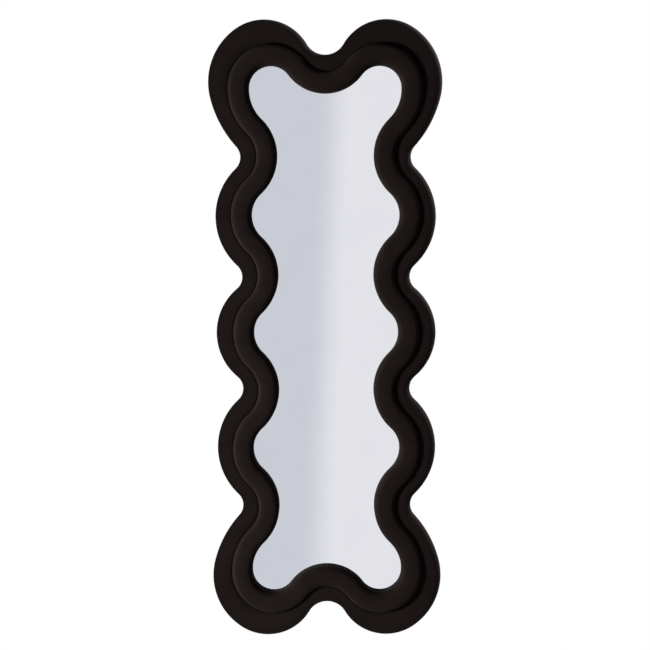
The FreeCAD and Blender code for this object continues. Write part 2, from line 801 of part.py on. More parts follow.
    def set_at(self, stations_found, height):
        """Placements at stations on the back or front of a board at this height."""
        depth = -self.sheet.amount(height)
        placements = []
        for point, heading in stations_found:
            turn = FreeCAD.Rotation(Vector(0, -1, 0), math.degrees(math.atan2(heading.y, heading.x)))
            placements.append(FreeCAD.Placement(Vector(point.x, depth, point.y), turn))
        return placements

    def count(self, name):
        """A whole number of the sheet."""
        return int(round(self.sheet.size(name)))

    def fixed_group(self, label, screw, room, placements):
        """Screws at their places, kept as one sub-part, and the room that they need."""
        self.keep(self.group(label, screw, placements), label)
        return self.group(f"{label}_room", room, placements)

    def panel_screws(self):
        """The screws that hold the back panel to the base core."""
        length = ("panel_screw_length",)
        found = self.stations_along(OUTLINE, ("-panel_screw_inset",), self.count("panel_screws_per_quarter"))
        screw, room = self.screw("PanelScrew", length), self.screw_room("PanelScrewRoom", length)
        return self.fixed_group("panel_screws", screw, room, self.set_at(found, PANEL_BACK))

    def ring_screws(self):
        """The screws that hold the upper core to the base core, under the panel."""
        length = ("ring_screw_length",)
        found = self.stations_along(SIGHT_EDGE, ("ring_screw_offset",), self.count("ring_screws_per_quarter"))
        screw, room = self.screw("RingScrew", length), self.screw_room("RingScrewRoom", length)
        return self.fixed_group("ring_screws", screw, room, self.set_at(found, PANEL_FRONT))

    def cover_staples(self):
        """The staples that hold the turned-in edge of the outer cover to the base core."""
        body = self.body("Staple")
        across, wire, leg = ("staple_half_crown",), ("staple_wire",), ("staple_leg",)
        inside = across + minus(wire)
        left_across, left_inside = minus(across), minus(inside)
        corners = [(left_across, ()), (across, ()), (across, leg), (inside, leg), (inside, wire)]
        corners += [(left_inside, wire), (left_inside, leg), (left_across, leg)]
        section = Drawing(body, "Section", "XY_Plane")
        section.polygon(self.sheet, [(side, minus(down)) for side, down in corners])
        pad = self.raised(body, section.finish(), wire, "Wire")
        pad.Midplane = True
        self.document.recompute()
        found = self.stations_along(OUTLINE, ("-staple_inset",), self.count("staples_per_quarter"))
        placements = self.set_at(found, OUTER_COVER_BACK + ("-staple_wire",))
        return self.keep(self.group("cover_staples", body, placements), "cover_staples")

    def hanger_spots(self):
        """Where the two rings are hinged, left and right."""
        flank = next(arc for arc in quarter(self.sheet, OUTLINE) if arc.name == "flank")
        reach = flank.radius - self.sheet.size("hanger_inset")
        spot = flank.centre + polar(reach, self.sheet.size("hanger_angle"))
        depth = -self.sheet.amount(HINGE_HEIGHT)
        return {side: Vector(sign * spot.x, depth, spot.y) for side, sign in (("left", -1), ("right", 1))}

    def hangers(self):
        """Two strap hangers with their swivelling rings and the screws that hold them."""
        spots = self.hanger_spots()
        for side, spot in spots.items():
            for make, label in ((self.strap, "hanger_strap"), (self.ring_loop, "hanger_ring")):
                piece = make(side)
                piece.Placement = FreeCAD.Placement(spot, FreeCAD.Rotation())
                self.keep(piece, f"{label}_{side}")
        length = ("hanger_screw_length",)
        depth = -self.sheet.amount(STRAP_BACK + ("-screw_head_height",))
        drops = [self.sheet.size(f"{name}_screw_drop") for name in ("first", "second")]
        placements = [
            FreeCAD.Placement(Vector(spot.x, depth, spot.z - drop), FreeCAD.Rotation())
            for spot in spots.values()
            for drop in drops
        ]
        screw = self.screw("HangerScrew", length, pan_head=True)
        room = self.screw_room("HangerScrewRoom", length, pan_head=True)
        return self.fixed_group("hanger_screws", screw, room, placements)

    def strap(self, side):
        """A steel strap, rolled at its top round the bar of the ring; its origin is the hinge."""
        body = self.body(f"Strap_{side}")
        plate = Drawing(body, "Plate", "XZ_Plane", LOOP_BORE)
        half, low = ("strap_half_width",), ("-strap_length",)
        plate.polygon(self.sheet, [(minus(half), ()), (half, ()), (half, low), (minus(half), low)])
        for name in ("first_screw_drop", "second_screw_drop"):
            self.round_hole(plate, (f"-{name}",), ("screw_radius", "strap_hole_clearance"))
        pad = self.raised(body, plate.finish(), ("strap_thickness",))
        self.document.recompute()
        bottom = -self.sheet.size("strap_length")
        rounded = body.newObject("PartDesign::Fillet", "RoundedEnd")
        edges = enumerate(pad.Shape.Edges, start=1)
        rounded.Base = (pad, [f"Edge{number}" for number, edge in edges if self.is_end_edge(edge, bottom)])
        rounded.setExpression("Radius", "Sizes.strap_corner")
        self.document.recompute()
        for name, kind, terms in (("Loop", "Pad", LOOP_OUTSIDE), ("Bore", "Pocket", LOOP_BORE)):
            section = Drawing(body, f"{name}Section", "YZ_Plane")
            self.round_hole(section, (), terms)
            roll = self.feature(body, kind, name, section.finish())
            roll.Midplane = True
            roll.setExpression("Length", "2 * Sizes.loop_half_width")
            self.document.recompute()
        return body

    def is_end_edge(self, edge, bottom):
        """Whether an edge runs through the strap's thickness at its lower end."""
        first, last = (vertex.Point for vertex in (edge.Vertexes[0], edge.Vertexes[-1]))
        return abs(first.y - last.y) > 0.1 and abs(first.z - bottom) < 1e-6 and abs(last.z - bottom) < 1e-6

    def round_hole(self, drawing, up, radius):
        """Draws a circle on the upright axis at a height."""
        height, size = self.sheet.amount(up), self.sheet.amount(radius)
        number = drawing.circle(Vector(0, height, 0), size)
        drawing.measure("Radius", number, value=size, cells=formula(radius))
        drawing.place(number, drawing.CENTRE, (0, "0"), (height, formula(up)))

    def ring_loop(self, side):
        """A D-shaped ring of round wire that hangs from its straight bar; its origin is the hinge."""
        body = self.body(f"Ring_{side}")
        sheet = self.sheet
        bar, corner = sheet.size("ring_bar_half"), sheet.size("ring_corner_radius")
        wide, low = sheet.amount(RING_HALF_WIDTH), corner + sheet.size("ring_side")
        path = Drawing(body, "Path", "XZ_Plane")
        top = path.line(Vector(0, 0, 0), Vector(bar, 0, 0))
        bar_end, side_top = Vector(bar, 0, 0), Vector(wide, -corner, 0)
        side_end, lowest = Vector(wide, -low, 0), Vector(0, -low - wide, 0)
        bend, bend_ends = path.arc(Vector(bar, -corner, 0), corner, bar_end, side_top, -1)
        down = path.line(side_top, side_end)
        bow, bow_ends = path.arc(Vector(0, -low, 0), wide, side_end, lowest, -1)
        path.place(top, path.START, (0, "0"), (0, "0"))
        path.place(top, path.END, (bar, "Sizes.ring_bar_half"), (0, "0"))
        path.measure("Radius", bend, value=corner, cells="Sizes.ring_corner_radius")
        path.hold("Tangent", top, path.END, bend, bend_ends[0])
        path.hold("Tangent", bend, bend_ends[1], down, path.START)
        path.hold("Vertical", down)
        where = (*path.ORIGIN, down, path.END)
        path.measure("DistanceY", *where, value=-low, cells="-(Sizes.ring_corner_radius + Sizes.ring_side)")
        path.hold("Tangent", down, path.END, bow, bow_ends[0])
        path.hold("PointOnObject", bow, path.CENTRE, path.Y_AXIS)
        path.hold("PointOnObject", bow, bow_ends[1], path.Y_AXIS)
        path = path.finish()
        section = Drawing(body, "Section", "YZ_Plane")
        self.round_hole(section, (), ("ring_wire_radius",))
        section = section.finish()
        self.document.recompute()
        wire = self.feature(body, "AdditivePipe", "Wire", section)
        wire.Spine = (path, [f"Edge{number}" for number, _ in enumerate(path.Shape.Edges, start=1)])
        self.document.recompute()
        other = body.newObject("PartDesign::Mirrored", "OtherHalf")
        other.Originals = [wire]
        other.MirrorPlane = (origin_plane(body, "YZ_Plane"), [""])
        body.Tip = other
        self.document.recompute()
        return body

    def wall_bumpers(self):
        """Four rubber discs that keep the back panel and its hangers off the wall."""
        radius, height = ("bumper_radius",), ("bumper_height",)
        top = [((), ()), (radius + ("-bumper_bevel",), ()), (radius, ("bumper_bevel",))]
        disc = self.turned("Bumper", top + [(radius, height), ((), height)])
        lobe = quarter(self.sheet, OUTLINE)[1]
        spot = lobe.centre + polar(lobe.radius - self.sheet.size("bumper_inset"), 90)
        placements = self.set_at(self.four_ways(spot), minus(height))
        self.keep(self.group("wall_bumpers", disc, placements), "wall_bumpers")

    def build(self):
        """Builds every sub-part."""
        base, upper, panel = self.boards()
        outer_cover = self.upholstery()
        self.glazing()
        panel_room = self.panel_screws()
        ring_room = self.ring_screws()
        staples = self.cover_staples()
        hanger_room = self.hangers()
        self.drilled(panel, [panel_room, hanger_room], "back_panel")
        self.drilled(base, [panel_room, ring_room, hanger_room, staples], "base_ring_core")
        self.drilled(upper, [ring_room], "upper_ring_core")
        self.drilled(outer_cover, [staples], "outer_cover")
        self.wall_bumpers()
        self.document.recompute()

    def check(self):
        """Stops if any object failed or any sub-part isn't a sound solid."""
        for item in self.document.Objects:
            if {"Invalid", "Error"} & set(item.State):
                raise RuntimeError(f"{item.Label} failed: {item.State}")
        for piece in self.pieces:
            shape = piece.Shape
            if shape.isNull() or not shape.isValid() or not shape.Solids:
                raise RuntimeError(f"{piece.Label} is not a sound solid")
        for piece in self.pieces:
            if piece.TypeId == "Part::Cut" and piece.Shape.Volume >= piece.Base.Shape.Volume:
                raise RuntimeError(f"{piece.Label} was not drilled")

    def write(self):
        """Writes each sub-part to a file of its own."""
        os.makedirs("parts", exist_ok=True)
        for piece in self.pieces:
            piece.Shape.exportStep(f"parts/{piece.Label}.step")
            print(f"{piece.Label}: {len(piece.Shape.Solids)} solids, {piece.Shape.Volume / 1000:.2f} cm3")


mirror = Mirror()
mirror.build()
mirror.check()
mirror.write()
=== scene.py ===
"""The looks of a tall wavy wall mirror with a padded velvet frame in two tiers.

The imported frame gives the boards, glass, screws and hangers.  This script gives them their finishes, makes
the upholstery over them, and sets up the camera, the lights and the floor.  Lengths are in millimetres, or
in metres in the studio and in every mesh.  The axes are the frame's own, with the front along -Y.
"""
import logging
import math
from abc import ABC, abstractmethod
from collections.abc import Sequence
from dataclasses import dataclass
from enum import Enum
from functools import cache

import bpy
import numpy as np
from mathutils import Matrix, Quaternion, Vector


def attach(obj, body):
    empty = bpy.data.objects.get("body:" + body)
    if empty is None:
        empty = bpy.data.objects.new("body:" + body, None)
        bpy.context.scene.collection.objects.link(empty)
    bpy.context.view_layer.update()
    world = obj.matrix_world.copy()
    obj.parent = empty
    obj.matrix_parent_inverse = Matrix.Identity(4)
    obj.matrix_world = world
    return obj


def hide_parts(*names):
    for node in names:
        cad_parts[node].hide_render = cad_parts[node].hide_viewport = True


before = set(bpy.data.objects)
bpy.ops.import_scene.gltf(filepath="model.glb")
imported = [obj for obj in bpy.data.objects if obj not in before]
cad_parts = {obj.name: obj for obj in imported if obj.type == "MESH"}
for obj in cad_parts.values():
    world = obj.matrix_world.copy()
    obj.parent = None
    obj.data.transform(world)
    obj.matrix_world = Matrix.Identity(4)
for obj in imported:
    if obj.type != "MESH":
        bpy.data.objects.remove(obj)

Piece = bpy.types.Object
Node = bpy.types.Node
Socket = bpy.types.NodeSocket
Value = Socket | float
Pair = tuple[float, float]
Triple = tuple[float, float, float]

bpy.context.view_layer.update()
MIRROR_BODY = "mirror"
CLOTH_MAP = "ClothMap"
WHITE = "#ffffff"
MM = 0.001
# The distances between stations along the two lines.
OUTLINE_STEP = 6.0
SIGHT_STEP = 4.2
# Heights above the back panel's rear face.
PANEL_FRONT = 3.0
GLASS_FRONT = 10.0
BASE_CORE_FRONT = 12.0
# The velvet's thickness, and the gap that keeps the foam off the velvet and the boards.
VELVET_THICKNESS = 1.2
SEAT = 0.05
# Rays whose cross product with an edge is smaller run along it.
PARALLEL = 1e-12

log = logging.getLogger("wavy_mirror")


# ---------------- lines


class Bend(Enum):
    """How an arc of a wavy line is given."""

    LOBE = "with its own centre"
    WIDER = "carries on from the arc before it"
    HOLLOW = "touches the arcs on both sides of it"


@dataclass(frozen=True)
class ArcSize:
    """One arc of a line's upper right quarter, from the top to the right."""

    bend: Bend
    radius: float
    x: float = 0.0
    z: float = 0.0
    start_angle: float = 0.0


@dataclass
class Arc:
    """An arc with its centre found; turn is -1 round a lobe and 1 round a hollow."""

    centre: np.ndarray
    radius: float
    turn: int


OUTLINE = (
    ArcSize(Bend.HOLLOW, 54),
    ArcSize(Bend.LOBE, 126.5, 155.5, 673.5),
    ArcSize(Bend.WIDER, 165, start_angle=56),
    ArcSize(Bend.WIDER, 287, start_angle=-14),
    ArcSize(Bend.HOLLOW, 40),
    ArcSize(Bend.LOBE, 171.4, 112.2, 299.7),
    ArcSize(Bend.HOLLOW, 39.5),
    ArcSize(Bend.LOBE, 150, 133.7, 0),
)
SIGHT_EDGE = (
    ArcSize(Bend.HOLLOW, 118),
    ArcSize(Bend.LOBE, 55.8, 139.3, 627.5),
    ArcSize(Bend.WIDER, 105.5, start_angle=3),
    ArcSize(Bend.HOLLOW, 132),
    ArcSize(Bend.LOBE, 75.3, 115, 303.2),
    ArcSize(Bend.HOLLOW, 133.7),
    ArcSize(Bend.LOBE, 72.6, 114.3, 0),
)


class WavyLine:
    """A closed line of arcs, the same left and right, above and below."""

    def __init__(self, sizes: tuple[ArcSize, ...], step: float) -> None:
        """Finds the arcs and samples the whole line once.

        Args:
            sizes: the arcs of the upper right quarter.
            step: the distance between stations along the line, in millimetres.
        """
        self.arcs = self._centred(sizes)
        self.step = step
        self.points, self.normals = self._whole_line()
        gaps = np.linalg.norm(np.roll(self.points, -1, axis=0) - self.points, axis=1)
        self.travel = np.concatenate([[0.0], np.cumsum(gaps)])

    def _centred(self, sizes: tuple[ArcSize, ...]) -> list[Arc]:
        """Finds the centre of every arc; that of the first one, the notch at the top, is on the middle line.

        Args:
            sizes: the arcs of the quarter.

        Returns:
            The arcs in the same order.
        """
        arcs: list[Arc] = []
        for size in sizes:
            if size.bend is Bend.LOBE:
                arcs.append(Arc(np.array([size.x, size.z], float), size.radius, -1))
            elif size.bend is Bend.WIDER:
                before = arcs[-1]
                angle = math.radians(size.start_angle)
                step = (size.radius - before.radius) * np.array([math.cos(angle), math.sin(angle)])
                arcs.append(Arc(before.centre - step, size.radius, -1))
            else:
                arcs.append(Arc(np.zeros(2), size.radius, 1))
        for index, arc in enumerate(arcs):
            if arc.turn == 1 and index:
                arc.centre = self._touching(arcs[index - 1], arcs[index + 1], arc.radius)
        lobe, notch = arcs[1], arcs[0]
        rise = math.sqrt((lobe.radius + notch.radius) ** 2 - lobe.centre[0] ** 2)
        notch.centre = np.array([0.0, lobe.centre[1] + rise])
        return arcs

    @staticmethod
    def _touching(first: Arc, second: Arc, radius: float) -> np.ndarray:
        """Finds the centre of the hollow that touches two lobes.

        Args:
            first: the lobe before the hollow.
            second: the lobe after it.
            radius: the hollow's radius.

        Returns:
            The centre.
        """
        across = second.centre - first.centre
        length = float(np.linalg.norm(across))
        reach = first.radius + radius
        along = (reach**2 - (second.radius + radius) ** 2 + length**2) / (2 * length)
        direction = across / length
        outward = np.array([-direction[1], direction[0]])
        return first.centre + direction * along + outward * math.sqrt(reach**2 - along**2)

    def _quarter(self) -> tuple[np.ndarray, np.ndarray]:
        """Samples the upper right quarter from the top to the right.

        Returns:
            The points and their outward normals, both ends included.
        """
        first, last = self.arcs[0], self.arcs[-1]
        ends = [first.centre - [0, first.radius]]
        for arc, after in zip(self.arcs, self.arcs[1:]):
            across = after.centre - arc.centre
            sign = 1 if arc.turn != after.turn else -1
            ends.append(arc.centre + sign * across * arc.radius / np.linalg.norm(across))
        ends.append(last.centre + [last.radius, 0])
        points, normals = [], []
        for arc, start, end in zip(self.arcs, ends, ends[1:]):
            (start_x, start_z), (end_x, end_z) = start - arc.centre, end - arc.centre
            begin, stop = math.atan2(start_z, start_x), math.atan2(end_z, end_x)
            sweep = arc.turn * ((arc.turn * (stop - begin)) % (2 * math.pi))
            count = max(2, round(abs(sweep) * arc.radius / self.step))
            angles = begin + sweep * np.arange(count) / count
            spokes = np.stack([np.cos(angles), np.sin(angles)], axis=1)
            points.append(arc.centre + arc.radius * spokes)
            normals.append(-arc.turn * spokes)
        points.append(np.array([ends[-1]]))
        normals.append(np.array([[1.0, 0.0]]))
        return np.concatenate(points), np.concatenate(normals)

    def _whole_line(self) -> tuple[np.ndarray, np.ndarray]:
        """Mirrors the quarter into the whole line, clockwise from the top.

        Returns:
            The points and their outward normals.
        """
        whole = []
        for quarter in self._quarter():
            right = np.concatenate([quarter, quarter[-2::-1] * [1, -1]])
            whole.append(np.concatenate([right, right[-2:0:-1] * [-1, 1]]))
        return whole[0], whole[1]

    def ray_lengths(self, origins: np.ndarray, directions: np.ndarray, offset: float) -> np.ndarray:
        """Measures how far rays run before they meet this line grown outward by an offset.

        Args:
            origins: where the rays start.
            directions: their unit directions.
            offset: how far outward the line is grown.

        Returns:
            The distance along each ray to its first meeting.
        """
        line = self.points + self.normals * offset
        edges = np.roll(line, -1, axis=0) - line
        found = np.full(len(origins), np.inf)
        for index, (origin, ray) in enumerate(zip(origins, directions)):
            gap = line - origin
            cross = ray[0] * edges[:, 1] - ray[1] * edges[:, 0]
            cross = np.where(np.abs(cross) < PARALLEL, PARALLEL, cross)
            along = (gap[:, 0] * edges[:, 1] - gap[:, 1] * edges[:, 0]) / cross
            share = (gap[:, 0] * ray[1] - gap[:, 1] * ray[0]) / cross
            met = along[(share >= 0) & (share <= 1) & (along > 0)]
            found[index] = met.min() if len(met) else np.inf
        return found


# ---------------- meshes


def new_mesh(
    name: str,
    vertices: np.ndarray,
    faces: Sequence[tuple[int, ...]] = (),
    edges: Sequence[tuple[int, int]] = (),
) -> Piece:
    """Makes a mesh object at the origin.

    Args:
        name: the piece's name.
        vertices: its points in metres.
        faces: the corners of its faces.
        edges: the ends of the edges that belong to no face.

    Returns:
        The object, linked into the scene.
    """
    mesh = bpy.data.meshes.new(name)
    mesh.from_pydata(np.asarray(vertices).tolist(), edges, faces)
    mesh.update()
    piece = bpy.data.objects.new(name, mesh)
    bpy.context.scene.collection.objects.link(piece)
    return piece


def loft(name: str, rings: np.ndarray, travel: np.ndarray) -> Piece:
    """Joins closed sections along a closed line into one closed skin with a map of its own.

    Args:
        name: the piece's name.
        rings: the sections, as stations by points by three, in metres.
        travel: the distance along the line at each station and at its return, in millimetres.

    Returns:
        The object, its faces outward and smooth, with distances along and across in its UV map.
    """
    stations, corners, _ = rings.shape
    across = np.linalg.norm(np.roll(rings[0], -1, axis=0) - rings[0], axis=1)
    girth = np.concatenate([[0.0], np.cumsum(across)])
    faces, maps = [], []
    for i in range(stations):
        j = (i + 1) % stations
        near, far = travel[i] * MM, travel[i + 1] * MM
        for k in range(corners):
            m = (k + 1) % corners
            faces.append((i * corners + k, i * corners + m, j * corners + m, j * corners + k))
            maps += [(near, girth[k]), (near, girth[k + 1]), (far, girth[k + 1]), (far, girth[k])]
    vertices = rings.reshape(-1, 3)
    first, second, third, fourth = (vertices[column] for column in np.array(faces).T)
    area = np.cross(third - first, fourth - second)
    if np.einsum("ij,ij->", area, first + third) < 0:
        faces = [face[::-1] for face in faces]
        maps = [uv for start in range(0, len(maps), 4) for uv in maps[start:start + 4][::-1]]
    piece = new_mesh(name, vertices, faces)
    layer = piece.data.uv_layers.new(name=CLOTH_MAP)
    layer.data.foreach_set("uv", np.array(maps, np.float32).ravel())
    piece.data.shade_smooth()
    return piece


def arc_points(centre: Pair, radius: float, start: float, end: float, count: int) -> np.ndarray:
    """Samples an arc.

    Args:
        centre: its centre, lateral and height.
        radius: its radius.
        start: its first angle in degrees, from lateral towards height.
        end: its last angle.
        count: how many points, both ends included.

    Returns:
        The points.
    """
    angles = np.radians(np.linspace(start, end, count))
    return np.stack([centre[0] + radius * np.cos(angles), centre[1] + radius * np.sin(angles)], axis=1)


def steps_after(start: float, end: float, count: int) -> np.ndarray:
    """Gives evenly spaced values from just after the start up to and with the end."""
    return np.linspace(start, end, count + 1)[1:]


def level(laterals: np.ndarray, height: float) -> np.ndarray:
    """Gives points at one height, one for each lateral place."""
    return np.stack([laterals, np.full(len(laterals), height)], axis=1)


def upright(lateral: float, heights: np.ndarray) -> np.ndarray:
    """Gives points at one lateral place, one for each height."""
    return np.stack([np.full(len(heights), lateral), heights], axis=1)


# ---------------- nodes


def linear(colour: str) -> tuple[float, float, float, float]:
    """Turns an sRGB hex value to the linear colour that shaders take."""
    parts = (int(colour[place:place + 2], 16) / 255 for place in (1, 3, 5))
    return (*(part / 12.92 if part <= 0.04045 else ((part + 0.055) / 1.055) ** 2.4 for part in parts), 1.0)


class Graph:
    """Nodes that are added one by one: those of a material, of the world or of Geometry Nodes."""

    def __init__(self, tree: bpy.types.NodeTree) -> None:
        """Takes over a tree and empties it."""
        self.tree = tree
        tree.nodes.clear()

    def node(self, kind: str, links: dict[str | int, object] | None = None, **settings: object) -> Node:
        """Adds a node.

        Args:
            kind: the node's type.
            links: for each input's name or number, a value or another node's output.
            settings: the node's own properties.

        Returns:
            The node.
        """
        node = self.tree.nodes.new(kind)
        for name, value in settings.items():
            setattr(node, name, value)
        for place, value in (links or {}).items():
            if isinstance(value, Socket):
                self.tree.links.new(value, node.inputs[place])
            else:
                node.inputs[place].default_value = value
        return node

    def calc(self, operation: str, first: Value, second: Value = 0.0) -> Socket:
        """Gives the result of one operation on two numbers."""
        return self.node("ShaderNodeMath", {0: first, 1: second}, operation=operation).outputs[0]

    def vector(self, x: Value = 0.0, y: Value = 0.0, z: Value = 0.0) -> Socket:
        """Gives a vector of three numbers."""
        return self.node("ShaderNodeCombineXYZ", {0: x, 1: y, 2: z}).outputs[0]

    def dot(self, vector: Socket, direction: Triple) -> Socket:
        """Gives how far a vector points along a direction."""
        links = {0: vector, 1: direction}
        return self.node("ShaderNodeVectorMath", links, operation="DOT_PRODUCT").outputs["Value"]

    def ranged(
        self, value: Socket, source: Pair = (0.0, 1.0), target: Pair = (0.0, 1.0), smooth: bool = False,
    ) -> Socket:
        """Maps a value from the source range to the target range and holds it there."""
        kind = "SMOOTHSTEP" if smooth else "LINEAR"
        ends = {"From Min": source[0], "From Max": source[1], "To Min": target[0], "To Max": target[1]}
        return self.node("ShaderNodeMapRange", {"Value": value} | ends, interpolation_type=kind).outputs[0]

    def noise(self, place: Socket, size: float, detail: float) -> Socket:
        """Gives a noise pattern between 0 and 1 with spots of a size in millimetres."""
        links = {"Vector": place, "Scale": 1 / (size * MM), "Detail": detail}
        return self.node("ShaderNodeTexNoise", links).outputs[0]

    def mixed(self, share: Socket, low: str, high: str) -> Socket:
        """Blends two sRGB colours by a share, through the Mix node's colour sockets."""
        links = {0: share, 6: linear(low), 7: linear(high)}
        return self.node("ShaderNodeMix", links, data_type="RGBA").outputs[2]

    def bumped(self, pattern: Socket, strength: float, depth: float) -> Socket:
        """Gives the normal of a surface that a pattern raises by a depth in millimetres."""
        links = {"Height": pattern, "Strength": strength, "Distance": depth * MM}
        return self.node("ShaderNodeBump", links).outputs[0]


class RepeatTree(Graph):
    """A Geometry Nodes tree that makes a piece from named numbers."""

    KINDS = {int: "NodeSocketInt", float: "NodeSocketFloat"}

    def __init__(self, name: str, values: dict[str, int | float]) -> None:
        """Starts the tree.

        Args:
            name: the tree's name.
            values: its named inputs; lengths are in metres.
        """
        super().__init__(bpy.data.node_groups.new(name, "GeometryNodeTree"))
        self.values = values
        ends = self.tree.interface
        ends.new_socket("Geometry", in_out="OUTPUT", socket_type="NodeSocketGeometry")
        ends.new_socket("Geometry", in_out="INPUT", socket_type="NodeSocketGeometry")
        for label, value in values.items():
            ends.new_socket(label, in_out="INPUT", socket_type=self.KINDS[type(value)])
        self.inputs = self.node("NodeGroupInput").outputs

    def swept(self, rail: Socket, section: Socket) -> Socket:
        """Runs a closed section along a rail and closes both ends."""
        links = {"Curve": rail, "Profile Curve": section, "Fill Caps": True}
        return self.node("GeometryNodeCurveToMesh", links).outputs[0]

    def rounded(self, curve: Socket, radius: Socket, count: int) -> Socket:
        """Rounds the corners of a curve, each with a count of points."""
        links = {"Curve": curve, "Count": count, "Radius": radius}
        return self.node("GeometryNodeFilletCurve", links, mode="POLY").outputs[0]

    def end(self, instances: Socket, finish: "Finish") -> None:
        """Makes the instances real, gives them their finish and ends the tree."""
        real = self.node("GeometryNodeRealizeInstances", {0: instances})
        links = {"Geometry": real.outputs[0], "Material": finish.make()}
        dressed = self.node("GeometryNodeSetMaterial", links)
        self.node("NodeGroupOutput", {0: dressed.outputs[0]})

    def make(self, piece: Piece) -> Piece:
        """Runs the tree on a piece and leaves the plain mesh in it.

        Args:
            piece: the object whose mesh goes into the tree.

        Returns:
            The same object with the result as its mesh.
        """
        modifier = piece.modifiers.new(self.tree.name, "NODES")
        modifier.node_group = self.tree
        for item in self.tree.interface.items_tree:
            if item.in_out == "INPUT" and item.name in self.values:
                modifier[item.identifier] = self.values[item.name]
        bpy.context.view_layer.update()
        ready = piece.evaluated_get(bpy.context.evaluated_depsgraph_get())
        mesh = bpy.data.meshes.new_from_object(ready)
        piece.modifiers.clear()
        piece.data = mesh
        mesh.name = piece.name
        return piece


# ---------------- finishes


@dataclass(frozen=True)
class Finish(ABC):
    """A material that is named for what it is, and made once however many pieces wear it."""

    name: str

    @cache
    def make(self) -> bpy.types.Material:
        """Makes the material."""
        material = bpy.data.materials.new(self.name)
        material.use_nodes = True
        graph = Graph(material.node_tree)
        place = graph.node("ShaderNodeTexCoord").outputs["Object"]
        graph.node("ShaderNodeOutputMaterial", {"Surface": self.surface(graph, place).outputs[0]})
        return material

    @abstractmethod
    def surface(self, graph: Graph, place: Socket) -> Node:
        """Builds the finish.

        Args:
            graph: the material's nodes.
            place: the object's own coordinates, in metres.

        Returns:
            The shader that ends it.
        """


@dataclass(frozen=True)
class Velvet(Finish):
    """Woven polyester velvet, sheared and brushed.

    Its base colour holds painted light and shade: it runs from the dark colour to the lit colour by how far
    the surface faces one fixed direction, lighter on the side that faces it and darker on the other.  Along
    the sight edge and in the crease it is darker still, painted shade: only a share of the painted light is
    left at one distance, in millimetres up the section from its cut edge, and the whole of it from another.
    """

    # Painted light and shade: the base colour is lighter where the surface faces this direction and darker
    # where it faces away.
    painted_light_side: Triple
    painted_light_side_curve: float
    # The colour of the painted light.
    painted_lit_colour: str
    sheen: float
    # Painted shade along the sight edge and in the crease: the share of the painted light left there, and the
    # distances up the section where it starts and ends.
    edge_shade_share: float
    edge_shade_start: float
    edge_shade_end: float
    # The darkest colour, where the painted shade is full.
    deep: str = "#090403"
    sheen_colour: str = "#7a6561"
    sheen_roughness: float = 0.35
    specular: float = 0.05
    roughness: Pair = (0.82, 0.98)
    patch_size: float = 55.0
    patch_detail: float = 3.0
    grain_size: float = 1.6
    grain_detail: float = 2.0
    noise_range: Pair = (0.6, 1.4)
    unevenness: Pair = (0.72, 1.28)
    bump: float = 0.5
    grain_depth: float = 0.6

    def surface(self, graph: Graph, place: Socket) -> Node:
        """Builds the finish."""
        # Painted light and shade: lighter where the surface faces one fixed direction, darker where it faces
        # away.
        facing = graph.dot(graph.node("ShaderNodeNewGeometry").outputs["Normal"], self.painted_light_side)
        closed = graph.calc("POWER", graph.ranged(facing, (-1.0, 1.0)), self.painted_light_side_curve)
        patch = graph.noise(place, self.patch_size, self.patch_detail)
        grain = graph.noise(place, self.grain_size, self.grain_detail)
        pattern = graph.ranged(graph.calc("ADD", patch, grain), self.noise_range, self.unevenness)
        cloth = graph.node("ShaderNodeUVMap", uv_map=CLOTH_MAP).outputs[0]
        up_section = graph.node("ShaderNodeSeparateXYZ", {0: cloth}).outputs["Y"]
        # Painted shade along the sight edge and in the crease, fading out up the section.
        edge = (self.edge_shade_start * MM, self.edge_shade_end * MM)
        painted_edge_shade = graph.ranged(up_section, edge, (self.edge_shade_share, 1.0), smooth=True)
        # This share mixes the painted light, the painted shade and the random unevenness.
        brown = graph.calc("MULTIPLY", graph.calc("MULTIPLY", closed, painted_edge_shade), pattern)
        return graph.node("ShaderNodeBsdfPrincipled", {
            "Base Color": graph.mixed(brown, self.deep, self.painted_lit_colour),
            "Roughness": graph.ranged(grain, target=self.roughness),
            "Specular IOR Level": self.specular,
            "Sheen Weight": self.sheen,
            "Sheen Roughness": self.sheen_roughness,
            "Sheen Tint": linear(self.sheen_colour),
            "Normal": graph.bumped(grain, self.bump, self.grain_depth),
        })


@dataclass(frozen=True)
class Plain(Finish):
    """A finish with a two-colour grain: moulded, sawn, foamed or plated."""

    low: str
    high: str
    grain_size: float
    stretch: Triple = (1.0, 1.0, 1.0)
    roughness: Pair = (0.6, 0.8)
    metallic: float = 0.0
    relief: float = 0.1
    detail: float = 4.0
    bump: float = 0.3

    def surface(self, graph: Graph, place: Socket) -> Node:
        """Builds the finish."""
        drawn = graph.node("ShaderNodeMapping", {"Vector": place, "Scale": self.stretch}).outputs[0]
        grain = graph.noise(drawn, self.grain_size, self.detail)
        return graph.node("ShaderNodeBsdfPrincipled", {
            "Base Color": graph.mixed(grain, self.low, self.high),
            "Roughness": graph.ranged(grain, target=self.roughness),
            "Metallic": self.metallic,
            "Normal": graph.bumped(grain, self.bump, self.relief),
        })


@dataclass(frozen=True)
class SilveredGlass(Finish):
    """A cool, even mirror with a trace of haze."""

    silver: str = "#f0f2f3"
    dust: str = "#e9ecee"
    haze_size: float = 111.11
    detail: float = 4.0
    haziest: float = 0.012

    def surface(self, graph: Graph, place: Socket) -> Node:
        """Builds the finish."""
        haze = graph.noise(place, self.haze_size, self.detail)
        return graph.node("ShaderNodeBsdfPrincipled", {
            "Base Color": graph.mixed(haze, self.silver, self.dust),
            "Metallic": 1.0,
            "Roughness": graph.ranged(haze, target=(0.0, self.haziest)),
        })


